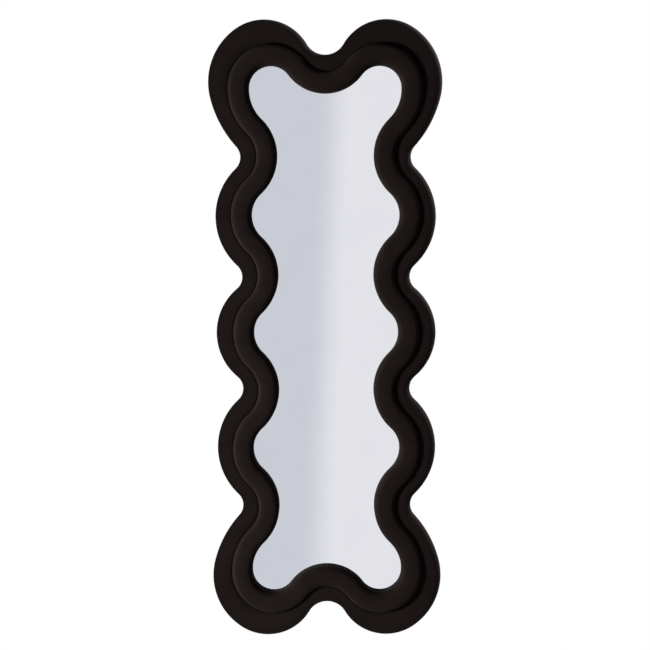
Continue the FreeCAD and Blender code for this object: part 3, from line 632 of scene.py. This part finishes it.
@dataclass(frozen=True)
class FadingFloor(Finish):
    """A matt floor that fades away between two distances from its middle, in metres."""

    pale: str = "#f4f4f3"
    fade: Pair = (0.3, 0.85)

    def surface(self, graph: Graph, place: Socket) -> Node:
        """Builds the finish."""
        flat = graph.node("ShaderNodeVectorMath", {0: place, 1: (1.0, 1.0, 0.0)}, operation="MULTIPLY")
        radius = graph.node("ShaderNodeVectorMath", {0: flat.outputs[0]}, operation="LENGTH")
        return graph.node("ShaderNodeMixShader", {
            0: graph.ranged(radius.outputs["Value"], self.fade, smooth=True),
            1: graph.node("ShaderNodeBsdfDiffuse", {"Color": linear(self.pale)}).outputs[0],
            2: graph.node("ShaderNodeBsdfTransparent").outputs[0],
        })


# Velvet: a dense short pile, matt, near black.  Its base colour has painted light: warm brown on the side
# that faces right and a little up on the outer tier and left on the inner tier, and painted shade on the
# other side.
# Its 0.4 mm tufts are drawn four times as coarse, or they would not show.
OUTER_VELVET = Velvet(
    "black_velvet_outer", painted_light_side=(0.96, 0.0, 0.28), painted_light_side_curve=2.1, painted_lit_colour="#302927", sheen=0.03,
    edge_shade_share=0.2, edge_shade_start=80.5, edge_shade_end=71.0,
)
INNER_VELVET = Velvet(
    "black_velvet_inner", painted_light_side=(-0.9, 0.0, 0.0), painted_light_side_curve=0.8, painted_lit_colour="#221c1a", sheen=0.05,
    edge_shade_share=0.55, edge_shade_start=24.0, edge_shade_end=56.0,
)
# Float glass, silvered behind: bright, cool and nearly without blur.
SILVERED_GLASS = SilveredGlass("silvered_glass")
# Studio board: off-white and matt.
PALE_FLOOR = FadingFloor("pale_floor")
# Cut polyether foam: cream, chalky and full of small open cells.
CREAM_FOAM = Plain("cream_upholstery_foam", "#cfc8b4", "#e2dcc9", 1.5, roughness=(0.85, 1.0), relief=0.4)
STRIP_FOAM = Plain("cream_strip_foam", "#d6d0bd", "#e6e1d0", 1.5, roughness=(0.85, 1.0), relief=0.4)
# Needled felt: black, fibrous and quite without gloss.
BLACK_FELT = Plain("black_felt", "#121212", "#242424", 1.2, roughness=(0.9, 1.0), relief=0.3)
# Medium-density fibreboard, sawn: tan, fine and matt.
FIBREBOARD = Plain("sawn_fibreboard", "#a98a63", "#bd9f78", 2.0, roughness=(0.75, 0.9))
# Hardboard, pressed: dark brown with a low, uneven polish.
HARDBOARD = Plain("brown_hardboard", "#5b4330", "#6f543c", 3.5, roughness=(0.45, 0.65), relief=0.08)
# Polyethylene film that holds the splinters: grey with a dull gloss.
GREY_FILM = Plain("grey_film", "#8f9498", "#a2a6a9", 12.0, roughness=(0.35, 0.5))
# Moulded rubber: black, with a slight bloom.
BLACK_RUBBER = Plain("black_rubber", "#151515", "#222222", 2.0, roughness=(0.55, 0.75), relief=0.05)
# What the zinc-coated metals share: they are bright and hardly raised.
ZINC = {"metallic": 1.0, "relief": 0.02}
# Galvanised staple wire: pale grey metal with a soft, streaked gloss.
STAPLE_WIRE = Plain("galvanised_wire", "#a8aaad", "#c9cacc", 0.6, roughness=(0.3, 0.5), **ZINC)
# Zinc-plated screws: a yellowish bright metal, tumbled, so a little blurred.
ZINC_SCREW = Plain("zinc_screw", "#b9b4a0", "#d2cdb9", 0.8, roughness=(0.3, 0.45), **ZINC)
# Zinc-plated strip, stamped: grey metal with faint lines across its length.
ZINC_STRAP = Plain("zinc_strap", "#b4b6b8", "#cdcecf", 1.5, stretch=(1, 1, 8), roughness=(0.3, 0.5), **ZINC)
# Zinc-plated round wire, drawn: the brightest of the metals.
ZINC_WIRE = Plain("zinc_wire", "#bdbfc1", "#d3d4d5", 0.8, roughness=(0.22, 0.35), **ZINC)

NODE_FINISHES: dict[str, Finish] = {
    "mirror_glass": SILVERED_GLASS,
    "safety_film": GREY_FILM,
    "back_panel": HARDBOARD,
    "base_ring_core": FIBREBOARD,
    "upper_ring_core": FIBREBOARD,
    "panel_screws": ZINC_SCREW,
    "ring_screws": ZINC_SCREW,
    "hanger_screws": ZINC_SCREW,
    "hanger_strap_left": ZINC_STRAP,
    "hanger_strap_right": ZINC_STRAP,
    "hanger_ring_left": ZINC_WIRE,
    "hanger_ring_right": ZINC_WIRE,
    "wall_bumpers": BLACK_RUBBER,
}


def dress(node: str, finish: Finish) -> None:
    """Gives a carried node its finish."""
    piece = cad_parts[node]
    piece.data.materials.clear()
    piece.data.materials.append(finish.make())
    log.info("%s: %s", node, finish.name)


# ---------------- padded pieces


class Side(Enum):
    """Which way sections reach from their line."""

    OUTWARD = 1
    INWARD = -1


def settle(piece: Piece, node: str) -> None:
    """Puts a piece in the place of its solid.

    Args:
        piece: the finished piece.
        node: the solid that it replaces.
    """
    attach(piece, MIRROR_BODY)
    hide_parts(node)
    log.info("%s: %d faces", piece.name, len(piece.data.polygons))


@dataclass
class SoftRing:
    """A padded piece that runs all the way along a line.

    Its sections are stations by points by (lateral, height), in millimetres: lateral is the distance from
    the line to its side, and height is the distance in front of the back panel's rear face.
    """

    name: str
    node: str
    slot: str
    line: WavyLine
    side: Side
    sections: np.ndarray

    def lay(self, finish: Finish) -> None:
        """Stands the sections along the line, joins them and puts the piece in the place of its solid."""
        lateral, height = self.sections[..., 0:1], self.sections[..., 1]
        reach = self.side.value * self.line.normals[:, None, :] * lateral
        plane = self.line.points[:, None, :] + reach
        rings = np.stack([plane[..., 0], -height, plane[..., 1]], axis=-1) * MM
        piece = loft(self.name, rings, self.line.travel)
        piece.data.materials.append(finish.make())
        settle(piece, self.node)


@dataclass(frozen=True)
class Wave:
    """A slow wave along a cover: its length in millimetres and its phase in turns."""

    length: float
    phase: float

    def along(self, travel: np.ndarray) -> np.ndarray:
        """Samples the wave at each station of a closed line, its length eased so that it closes too."""
        turns = max(1, round(travel[-1] / self.length))
        return np.sin(2 * np.pi * (turns * travel[:-1] / travel[-1] + self.phase))


@dataclass(frozen=True)
class Tier:
    """What the two tiers share: slow waves that swell the middle of a cover's face by up to relief."""

    waves: tuple[Wave, ...]
    swell_start: float
    swell_end: float
    relief: float = 0.35

    def swell(self, sections: np.ndarray, travel: np.ndarray) -> None:
        """Gives a cover's face its slight swell.

        Args:
            sections: the cover's sections, each with its outside first and then its inside; changed in place.
            travel: the distance along the line at each station and at its return.
        """
        outside = sections.shape[1] // 2
        share = (np.linspace(0, 1, outside) - self.swell_start) / (self.swell_end - self.swell_start)
        weight = np.sin(np.pi * np.clip(share, 0, 1)) ** 2
        slow = sum(wave.along(travel) for wave in self.waves) / len(self.waves)
        sections[:, :outside, 1] += self.relief * slow[:, None] * weight


@dataclass(frozen=True)
class OuterTier(Tier):
    """The crowned band from the outline to the crease: its foam and the velvet over it.

    Lateral distances are inward from the outline.
    """

    waves: tuple[Wave, ...] = (Wave(210, 0.1), Wave(131, 0.45), Wave(83, 0.8))
    swell_start: float = 0.18
    swell_end: float = 0.92
    turn_in: float = 18.0
    back_height: float = 1.8
    core_inset: float = 11.2
    back_round: float = 8.0
    edge_round: float = 20.5
    crown: float = 90.0
    tuck: float = 2.0
    crease_offset: float = 53.3
    pleat_height: float = 0.45
    pleat_length: float = 26.0
    pleat_sharpness: int = 3
    # How high a pleat stands at each point of the turned-in strip after its cut edge.
    pleat_shape: tuple[float, ...] = (0.55, 0.8, 1.0, 0.8, 0.5)
    # Points on each stretch of the section.
    back_points: int = 9
    edge_points: int = 15
    crown_points: int = 13
    tuck_points: int = 7

    def crown_height(self, lateral: np.ndarray, depth: float) -> np.ndarray:
        """Gives the height of the crown at a depth under the velvet's face."""
        middle = self.back_height + self.back_round + self.edge_round - self.crown
        return middle + np.sqrt((self.crown - depth) ** 2 - (lateral - self.edge_round) ** 2)

    def face(self, depth: float, reach: float) -> np.ndarray:
        """Draws the section's outside from the back round the edge to the crease.

        Args:
            depth: how deep under the velvet's face.
            reach: the distance from the outline to the crease.

        Returns:
            The points.
        """
        widest = self.back_height + self.back_round
        back = arc_points((self.back_round, widest), self.back_round - depth, 270, 180, self.back_points)
        edge = arc_points((self.edge_round, widest), self.edge_round - depth, 180, 90, self.edge_points)
        tuck = self.tuck - depth
        stop = reach - depth - tuck
        across = steps_after(self.edge_round, stop, self.crown_points)
        top = np.stack([across, self.crown_height(across, depth)], axis=1)
        turn = np.radians(steps_after(0, 90, self.tuck_points))
        lateral = stop + tuck * np.sin(turn)
        fall = tuck * (1 - np.cos(turn))
        down = np.stack([lateral, self.crown_height(lateral, depth) - fall], axis=1)
        return np.concatenate([back, edge[1:], top, down])

    def cover_section(self, reach: float) -> np.ndarray:
        """Draws the velvet's closed section for one station: its outside, and its inside back again."""
        strip = np.linspace(self.turn_in, self.back_round, len(self.pleat_shape) + 1, endpoint=False)
        outside = np.concatenate([level(strip, self.back_height), self.face(0.0, reach)])
        inside = np.concatenate([level(strip, PANEL_FRONT), self.face(VELVET_THICKNESS, reach)])
        return np.concatenate([outside, inside[::-1]])

    def pad_section(self, reach: float) -> np.ndarray:
        """Draws the foam's closed section for one station."""
        face = self.face(VELVET_THICKNESS + SEAT, reach)
        face[0, 1] = PANEL_FRONT + SEAT
        end = face[-1, 0]
        inner = self.core_inset - SEAT
        floor = level(np.array([end, (end + inner) / 2, inner]), BASE_CORE_FRONT + SEAT)
        return np.concatenate([face, floor, [[inner, face[0, 1]]]])

    def pleat(self, sections: np.ndarray, travel: np.ndarray) -> None:
        """Gives the velvet's turned-in strip its pleats.

        Args:
            sections: the cover's sections, changed in place.
            travel: the distance along the line at each station and at its return.
        """
        wave = Wave(self.pleat_length, 0.0).along(travel)
        fold = np.clip(wave, 0, 1) ** self.pleat_sharpness
        strip = slice(1, 1 + len(self.pleat_shape))
        sections[:, strip, 1] -= self.pleat_height * fold[:, None] * np.array(self.pleat_shape)


@dataclass(frozen=True)
class InnerTier(Tier):
    """The domed band along the sight edge: its foam and the velvet over it.

    Lateral distances are outward from the sight edge.
    """

    waves: tuple[Wave, ...] = (Wave(190, 0.3), Wave(117, 0.7), Wave(71, 0.15))
    swell_start: float = 0.2
    swell_end: float = 0.82
    width: float = 53.0
    front: float = 40.0
    cover_bottom: float = 10.3
    dome: float = 130.0
    crest: float = 30.0
    sight_round: float = 15.0
    step_round: float = 11.0
    core_start: float = 10.0
    core_end: float = 45.0
    core_front: float = 24.0
    # Points on each stretch of the section.
    wall_points: int = 5
    sight_points: int = 11
    dome_points: int = 12
    step_points: int = 7
    drop_points: int = 4

    def face(self, depth: float) -> np.ndarray:
        """Draws the section's outside from the glass over the dome to the crease.

        Args:
            depth: how deep under the velvet's face.

        Returns:
            The points.
        """
        middle = self.front - self.dome
        sight_rise = math.sqrt((self.dome - self.sight_round) ** 2 - (self.crest - self.sight_round) ** 2)
        step_reach = self.width - self.step_round - self.crest
        step_rise = math.sqrt((self.dome - self.step_round) ** 2 - step_reach**2)
        sight_lean = math.degrees(math.atan2(sight_rise, self.sight_round - self.crest))
        step_lean = math.degrees(math.atan2(step_rise, step_reach))
        sight = (self.sight_round, middle + sight_rise)
        step = (self.width - self.step_round, middle + step_rise)
        low = self.cover_bottom + depth
        wall = upright(depth, np.linspace(low, sight[1], self.wall_points, endpoint=False))
        near = arc_points(sight, self.sight_round - depth, 180, sight_lean, self.sight_points)
        top = arc_points((self.crest, middle), self.dome - depth, sight_lean, step_lean, self.dome_points)
        far = arc_points(step, self.step_round - depth, step_lean, 0, self.step_points)
        drop = upright(self.width - depth, steps_after(step[1], BASE_CORE_FRONT, self.drop_points))
        return np.concatenate([wall, near, top[1:], far[1:], drop])

    def cover_section(self) -> np.ndarray:
        """Draws the velvet's closed section: its outside, and its inside back again."""
        foot, roof = self.cover_bottom, self.cover_bottom + VELVET_THICKNESS
        outside = np.concatenate([[[self.core_start, foot]], self.face(0.0)])
        inside = np.concatenate([[[self.core_start, roof]], self.face(VELVET_THICKNESS)])
        return np.concatenate([outside, inside[::-1]])

    def pad_section(self) -> np.ndarray:
        """Draws the foam's closed section."""
        face = self.face(VELVET_THICKNESS + SEAT)
        face[-1, 1] = BASE_CORE_FRONT + SEAT
        start, end = self.core_start - SEAT, self.core_end + SEAT
        roof = level(np.array([end, (start + end) / 2, start]), self.core_front + SEAT)
        return np.concatenate([face, [[end, face[-1, 1]]], roof, [[start, face[0, 1]]]])


@dataclass
class Upholstery:
    """Both tiers laid along their lines."""

    outline: WavyLine
    sight: WavyLine
    outer: OuterTier = OuterTier()
    inner: InnerTier = InnerTier()

    def outer_sections(self) -> tuple[np.ndarray, np.ndarray]:
        """Draws the outer tier's velvet and foam at every station, as wide as it is there."""
        inward = -self.outline.normals
        reach = self.sight.ray_lengths(self.outline.points, inward, self.outer.crease_offset)
        cover = np.array([self.outer.cover_section(float(width)) for width in reach])
        pad = np.array([self.outer.pad_section(float(width)) for width in reach])
        self.outer.swell(cover, self.outline.travel)
        self.outer.pleat(cover, self.outline.travel)
        return cover, pad

    def inner_sections(self) -> tuple[np.ndarray, np.ndarray]:
        """Draws the inner tier's velvet and foam at every station."""
        sections = (self.inner.cover_section(), self.inner.pad_section())
        cover, pad = (np.repeat(section[None], len(self.sight.points), axis=0) for section in sections)
        self.inner.swell(cover, self.sight.travel)
        return cover, pad

    def build(self) -> None:
        """Makes the four soft pieces and puts them in the place of their solids."""
        outer, inner = (self.outline, Side.INWARD), (self.sight, Side.OUTWARD)
        outer_cover, outer_pad = self.outer_sections()
        inner_cover, inner_pad = self.inner_sections()
        SoftRing("outer_velvet", "outer_cover", "black_velvet", *outer, outer_cover).lay(OUTER_VELVET)
        SoftRing("inner_velvet", "inner_cover", "black_velvet", *inner, inner_cover).lay(INNER_VELVET)
        SoftRing("outer_foam", "outer_pad", "foam", *outer, outer_pad).lay(CREAM_FOAM)
        SoftRing("inner_foam", "inner_pad", "foam", *inner, inner_pad).lay(CREAM_FOAM)


@dataclass
class Glazing:
    """What holds the glass in its rebate: the felt in front of it and the foam strips behind it."""

    sight: WavyLine
    felt_start: float = 11.0
    felt_width: float = 8.0
    felt_round: float = 0.6
    strips: int = 3
    strip_spacing: float = 90.0
    strip_width: float = 25.0
    strip_thickness: float = 2.7
    strip_length: float = 1180.0
    strip_round: float = 1.0
    round_points: int = 4

    def felt(self) -> None:
        """Lays the felt ring on the rim of the glass, its edges softened by the cut."""
        bend = self.felt_round
        start, end = self.felt_start + bend, self.felt_start + self.felt_width - bend
        low, high = GLASS_FRONT + bend, BASE_CORE_FRONT - bend
        corners = ((start, low, 180), (end, low, 270), (end, high, 0), (start, high, 90))
        section = np.concatenate([
            arc_points((across, up), bend, turn, turn + 90, self.round_points) for across, up, turn in corners
        ])
        sections = np.repeat(section[None], len(self.sight.points), axis=0)
        ring = SoftRing("glazing_felt_ring", "glazing_felt", "felt", self.sight, Side.OUTWARD, sections)
        ring.lay(BLACK_FELT)

    def foam(self) -> None:
        """Stands the upright foam strips between the panel and the film."""
        tree = RepeatTree("foam_strips_side_by_side", {
            "Count": self.strips,
            "Spacing": self.strip_spacing * MM,
            "Width": self.strip_width * MM,
            "Thickness": self.strip_thickness * MM,
            "Length": self.strip_length * MM,
            "Round": self.strip_round * MM,
        })
        count, spacing, width, thickness, length, bend = (tree.inputs[label] for label in tree.values)
        top = tree.calc("MULTIPLY", length, 0.5)
        foot = tree.calc("MULTIPLY", length, -0.5)
        ends = {"Start": tree.vector(z=foot), "End": tree.vector(z=top)}
        rail = tree.node("GeometryNodeCurvePrimitiveLine", ends)
        block = tree.node("GeometryNodeCurvePrimitiveQuadrilateral", {"Width": width, "Height": thickness})
        strip = tree.swept(rail.outputs[0], tree.rounded(block.outputs[0], bend, self.round_points))
        before = tree.calc("MULTIPLY", tree.calc("SUBTRACT", count, 1.0), -0.5)
        row = tree.node("GeometryNodeMeshLine", {
            "Count": count,
            "Start Location": tree.vector(x=tree.calc("MULTIPLY", before, spacing)),
            "Offset": tree.vector(x=spacing),
        })
        placed = tree.node("GeometryNodeInstanceOnPoints", {"Points": row.outputs[0], "Instance": strip})
        middle = (0, -(PANEL_FRONT + self.strip_thickness / 2) * MM, 0)
        set_back = tree.node("GeometryNodeTransform", {"Geometry": placed.outputs[0], "Translation": middle})
        tree.end(set_back.outputs[0], STRIP_FOAM)
        settle(tree.make(new_mesh("glass_foam_strips", np.zeros((1, 3)))), "foam_strips")

    def build(self) -> None:
        """Makes the felt and the strips."""
        self.felt()
        self.foam()


# ---------------- staples


@dataclass
class Staples:
    """The staples that hold the turned-in velvet to the core, evenly spaced round the back."""

    outline: WavyLine
    count: int = 48
    inset: float = 13.5
    height: float = 1.0
    half_crown: float = 5.0
    leg: float = 6.0
    wire: float = 0.8
    bend: float = 1.0
    bend_points: int = 4
    lean: float = 2.0
    seed: int = 7

    def path(self) -> Piece:
        """Makes the line that they follow, from the top all the way round to the top."""
        line = self.outline.points - self.outline.normals * self.inset
        line = np.concatenate([line, line[:1]])
        vertices = np.stack([line[:, 0], np.full(len(line), -self.height), line[:, 1]], axis=1) * MM
        return new_mesh("velvet_staples", vertices, edges=[(n, n + 1) for n in range(len(line) - 1)])

    def staple(self, tree: RepeatTree) -> Socket:
        """Bends one staple from square wire, its crown along X at the origin and its legs to the front.

        Args:
            tree: the tree, with the staple's sizes among its inputs.

        Returns:
            The staple's mesh.
        """
        half, leg, wire, bend = (tree.inputs[label] for label in ("Half Crown", "Leg", "Wire", "Bend"))
        # The wire's middle runs through four corners, numbered -1.5 to 1.5 from one tip to the other.
        corners = tree.node("GeometryNodeMeshLine", {"Count": 4}).outputs[0]
        number = tree.calc("SUBTRACT", tree.node("GeometryNodeInputIndex").outputs[0], 1.5)
        flush = tree.calc("MULTIPLY", wire, 0.5)
        across = tree.calc("MULTIPLY", tree.calc("SIGN", number), tree.calc("SUBTRACT", half, flush))
        is_tip = tree.calc("GREATER_THAN", tree.calc("ABSOLUTE", number), 1.0)
        depth = tree.calc("MAXIMUM", tree.calc("MULTIPLY", is_tip, leg), flush)
        place = tree.vector(across, tree.calc("MULTIPLY", depth, -1.0))
        placed = tree.node("GeometryNodeSetPosition", {"Geometry": corners, "Position": place})
        line = tree.node("GeometryNodeMeshToCurve", {"Mesh": placed.outputs[0]})
        section = tree.node("GeometryNodeCurvePrimitiveQuadrilateral", {"Width": wire, "Height": wire})
        return tree.swept(tree.rounded(line.outputs[0], bend, self.bend_points), section.outputs[0])

    def build(self) -> None:
        """Sets the staples along the line, each turned a little as a hand tool leaves them."""
        tree = RepeatTree("staples_along_line", {
            "Count": self.count,
            "Seed": self.seed,
            "Lean": math.radians(self.lean),
            "Half Crown": self.half_crown * MM,
            "Leg": self.leg * MM,
            "Wire": self.wire * MM,
            "Bend": self.bend * MM,
        })
        count, seed, lean = (tree.inputs[label] for label in ("Count", "Seed", "Lean"))
        curve = tree.node("GeometryNodeMeshToCurve", {"Mesh": tree.inputs["Geometry"]})
        middle = tree.calc("ADD", tree.node("GeometryNodeInputIndex").outputs[0], 0.5)
        links = {"Curves": curve.outputs[0], "Factor": tree.calc("DIVIDE", middle, count)}
        spot = tree.node("GeometryNodeSampleCurve", links, mode="FACTOR").outputs
        points = tree.node("GeometryNodePoints", {"Count": count, "Position": spot["Position"]})
        links = {"Vector": spot["Tangent"]}
        along = tree.node("FunctionNodeAlignRotationToVector", links, axis="X", pivot_axis="Y")
        # Sockets 2 and 3 are the least and the most of a random number, which comes out of socket 1.
        least = tree.calc("MULTIPLY", lean, -1.0)
        turn = tree.node("FunctionNodeRandomValue", {2: least, 3: lean, "Seed": seed})
        links = {"Rotation": along.outputs[0], "Rotate By": tree.vector(y=turn.outputs[1])}
        askew = tree.node("FunctionNodeRotateRotation", links, rotation_space="LOCAL")
        placed = tree.node("GeometryNodeInstanceOnPoints", {
            "Points": points.outputs[0], "Instance": self.staple(tree), "Rotation": askew.outputs[0],
        })
        tree.end(placed.outputs[0], STAPLE_WIRE)
        settle(tree.make(self.path()), "cover_staples")


# ---------------- studio


@dataclass(frozen=True)
class Lamp:
    """A square soft lamp that faces the mirror: its place and side in metres, and its power in watts."""

    name: str
    place: Triple
    side: float
    power: float

    def hang(self) -> None:
        """Hangs the lamp."""
        data = bpy.data.lights.new(self.name, "AREA")
        data.size = self.side
        data.energy = self.power
        lamp = bpy.data.objects.new(self.name, data)
        lamp.location = self.place
        lamp.rotation_mode = "QUATERNION"
        lamp.rotation_quaternion = (-Vector(self.place)).to_track_quat("-Z", "Y")
        bpy.context.scene.collection.objects.link(lamp)


# The key lamp grazes the mirror from the left; the rim lamp lights its right edge from above and behind.
LAMPS = (Lamp("key", (-3.0, -1.7, -0.3), 0.5, 210), Lamp("rim", (2.0, 0.9, 1.8), 1.2, 135))


@dataclass(frozen=True)
class Studio:
    """The camera, the lamps, the floor and the white surroundings.

    In the glass the surroundings turn from one tint to another where a ray's heading, measured along
    tint_heading, passes tint_range.
    """

    focal_length: float = 84.9
    sensor_width: float = 36.0
    distance: float = 3.974
    looking_down: float = 5.605
    roll: float = -0.204
    target: Triple = (0.0, -0.0098, 0.0)
    shift: Pair = (-0.00172, 0.01157)
    floor_height: float = -1.15
    floor_radius: float = 1.0
    floor_corners: int = 96
    ambient: float = 0.12
    tints: tuple[str, str] = ("#d9dae2", "#f4f2f6")
    tint_heading: Triple = (1.0, 0.0, -0.042)
    tint_range: Pair = (-0.008, 0.016)

    def camera(self) -> None:
        """Sets the camera where the photograph was taken from."""
        data = bpy.data.cameras.new("camera")
        data.sensor_width = self.sensor_width
        data.lens = self.focal_length
        data.shift_x, data.shift_y = self.shift
        eye = bpy.data.objects.new("camera", data)
        bpy.context.scene.collection.objects.link(eye)
        down = math.radians(self.looking_down)
        back = Vector((0, -math.cos(down), math.sin(down)))
        eye.location = Vector(self.target) + back * self.distance
        eye.rotation_mode = "QUATERNION"
        level_view = (-back).to_track_quat("-Z", "Y")
        eye.rotation_quaternion = level_view @ Quaternion((0, 0, 1), math.radians(self.roll))
        bpy.context.scene.camera = eye

    def floor(self) -> None:
        """Lays a pale round floor that fades into the white surroundings."""
        count = self.floor_corners
        angles = np.linspace(0, 2 * np.pi, count, endpoint=False)
        rim = np.stack([np.cos(angles), np.sin(angles), np.zeros(count)], axis=1) * self.floor_radius
        vertices = np.concatenate([np.zeros((1, 3)), rim]) + [0, 0, self.floor_height]
        piece = new_mesh("floor", vertices, [(0, 1 + n, 1 + (n + 1) % count) for n in range(count)])
        piece.data.materials.append(PALE_FLOOR.make())

    def world(self) -> None:
        """Makes the surroundings white to the eye, dim on the mirror and tinted in the glass."""
        world = bpy.data.worlds.new("studio")
        bpy.context.scene.world = world
        world.use_nodes = True
        graph = Graph(world.node_tree)
        path = graph.node("ShaderNodeLightPath").outputs
        heading = graph.node("ShaderNodeTexCoord").outputs["Generated"]
        share = graph.ranged(graph.dot(heading, self.tint_heading), self.tint_range, smooth=True)
        in_glass = graph.node("ShaderNodeBackground", {"Color": graph.mixed(share, *self.tints)})
        around = graph.node("ShaderNodeBackground", {"Color": linear(WHITE), "Strength": self.ambient})
        white = graph.node("ShaderNodeBackground", {"Color": linear(WHITE)})
        glossy = graph.node("ShaderNodeMixShader", {
            0: path["Is Glossy Ray"], 1: around.outputs[0], 2: in_glass.outputs[0],
        })
        direct = graph.calc("MAXIMUM", path["Is Camera Ray"], path["Is Transmission Ray"])
        seen = graph.node("ShaderNodeMixShader", {0: direct, 1: glossy.outputs[0], 2: white.outputs[0]})
        graph.node("ShaderNodeOutputWorld", {"Surface": seen.outputs[0]})

    def build(self) -> None:
        """Sets up the whole studio."""
        bpy.context.scene.view_settings.view_transform = "Standard"
        self.camera()
        for lamp in LAMPS:
            lamp.hang()
        self.floor()
        self.world()


def main() -> None:
    """Builds every piece and finish in order."""
    logging.basicConfig(level=logging.INFO, format="%(message)s")
    Studio().build()
    outline, sight = WavyLine(OUTLINE, OUTLINE_STEP), WavyLine(SIGHT_EDGE, SIGHT_STEP)
    Upholstery(outline, sight).build()
    Staples(outline).build()
    Glazing(sight).build()
    for node, finish in NODE_FINISHES.items():
        dress(node, finish)


if __name__ == "__main__":
    main()
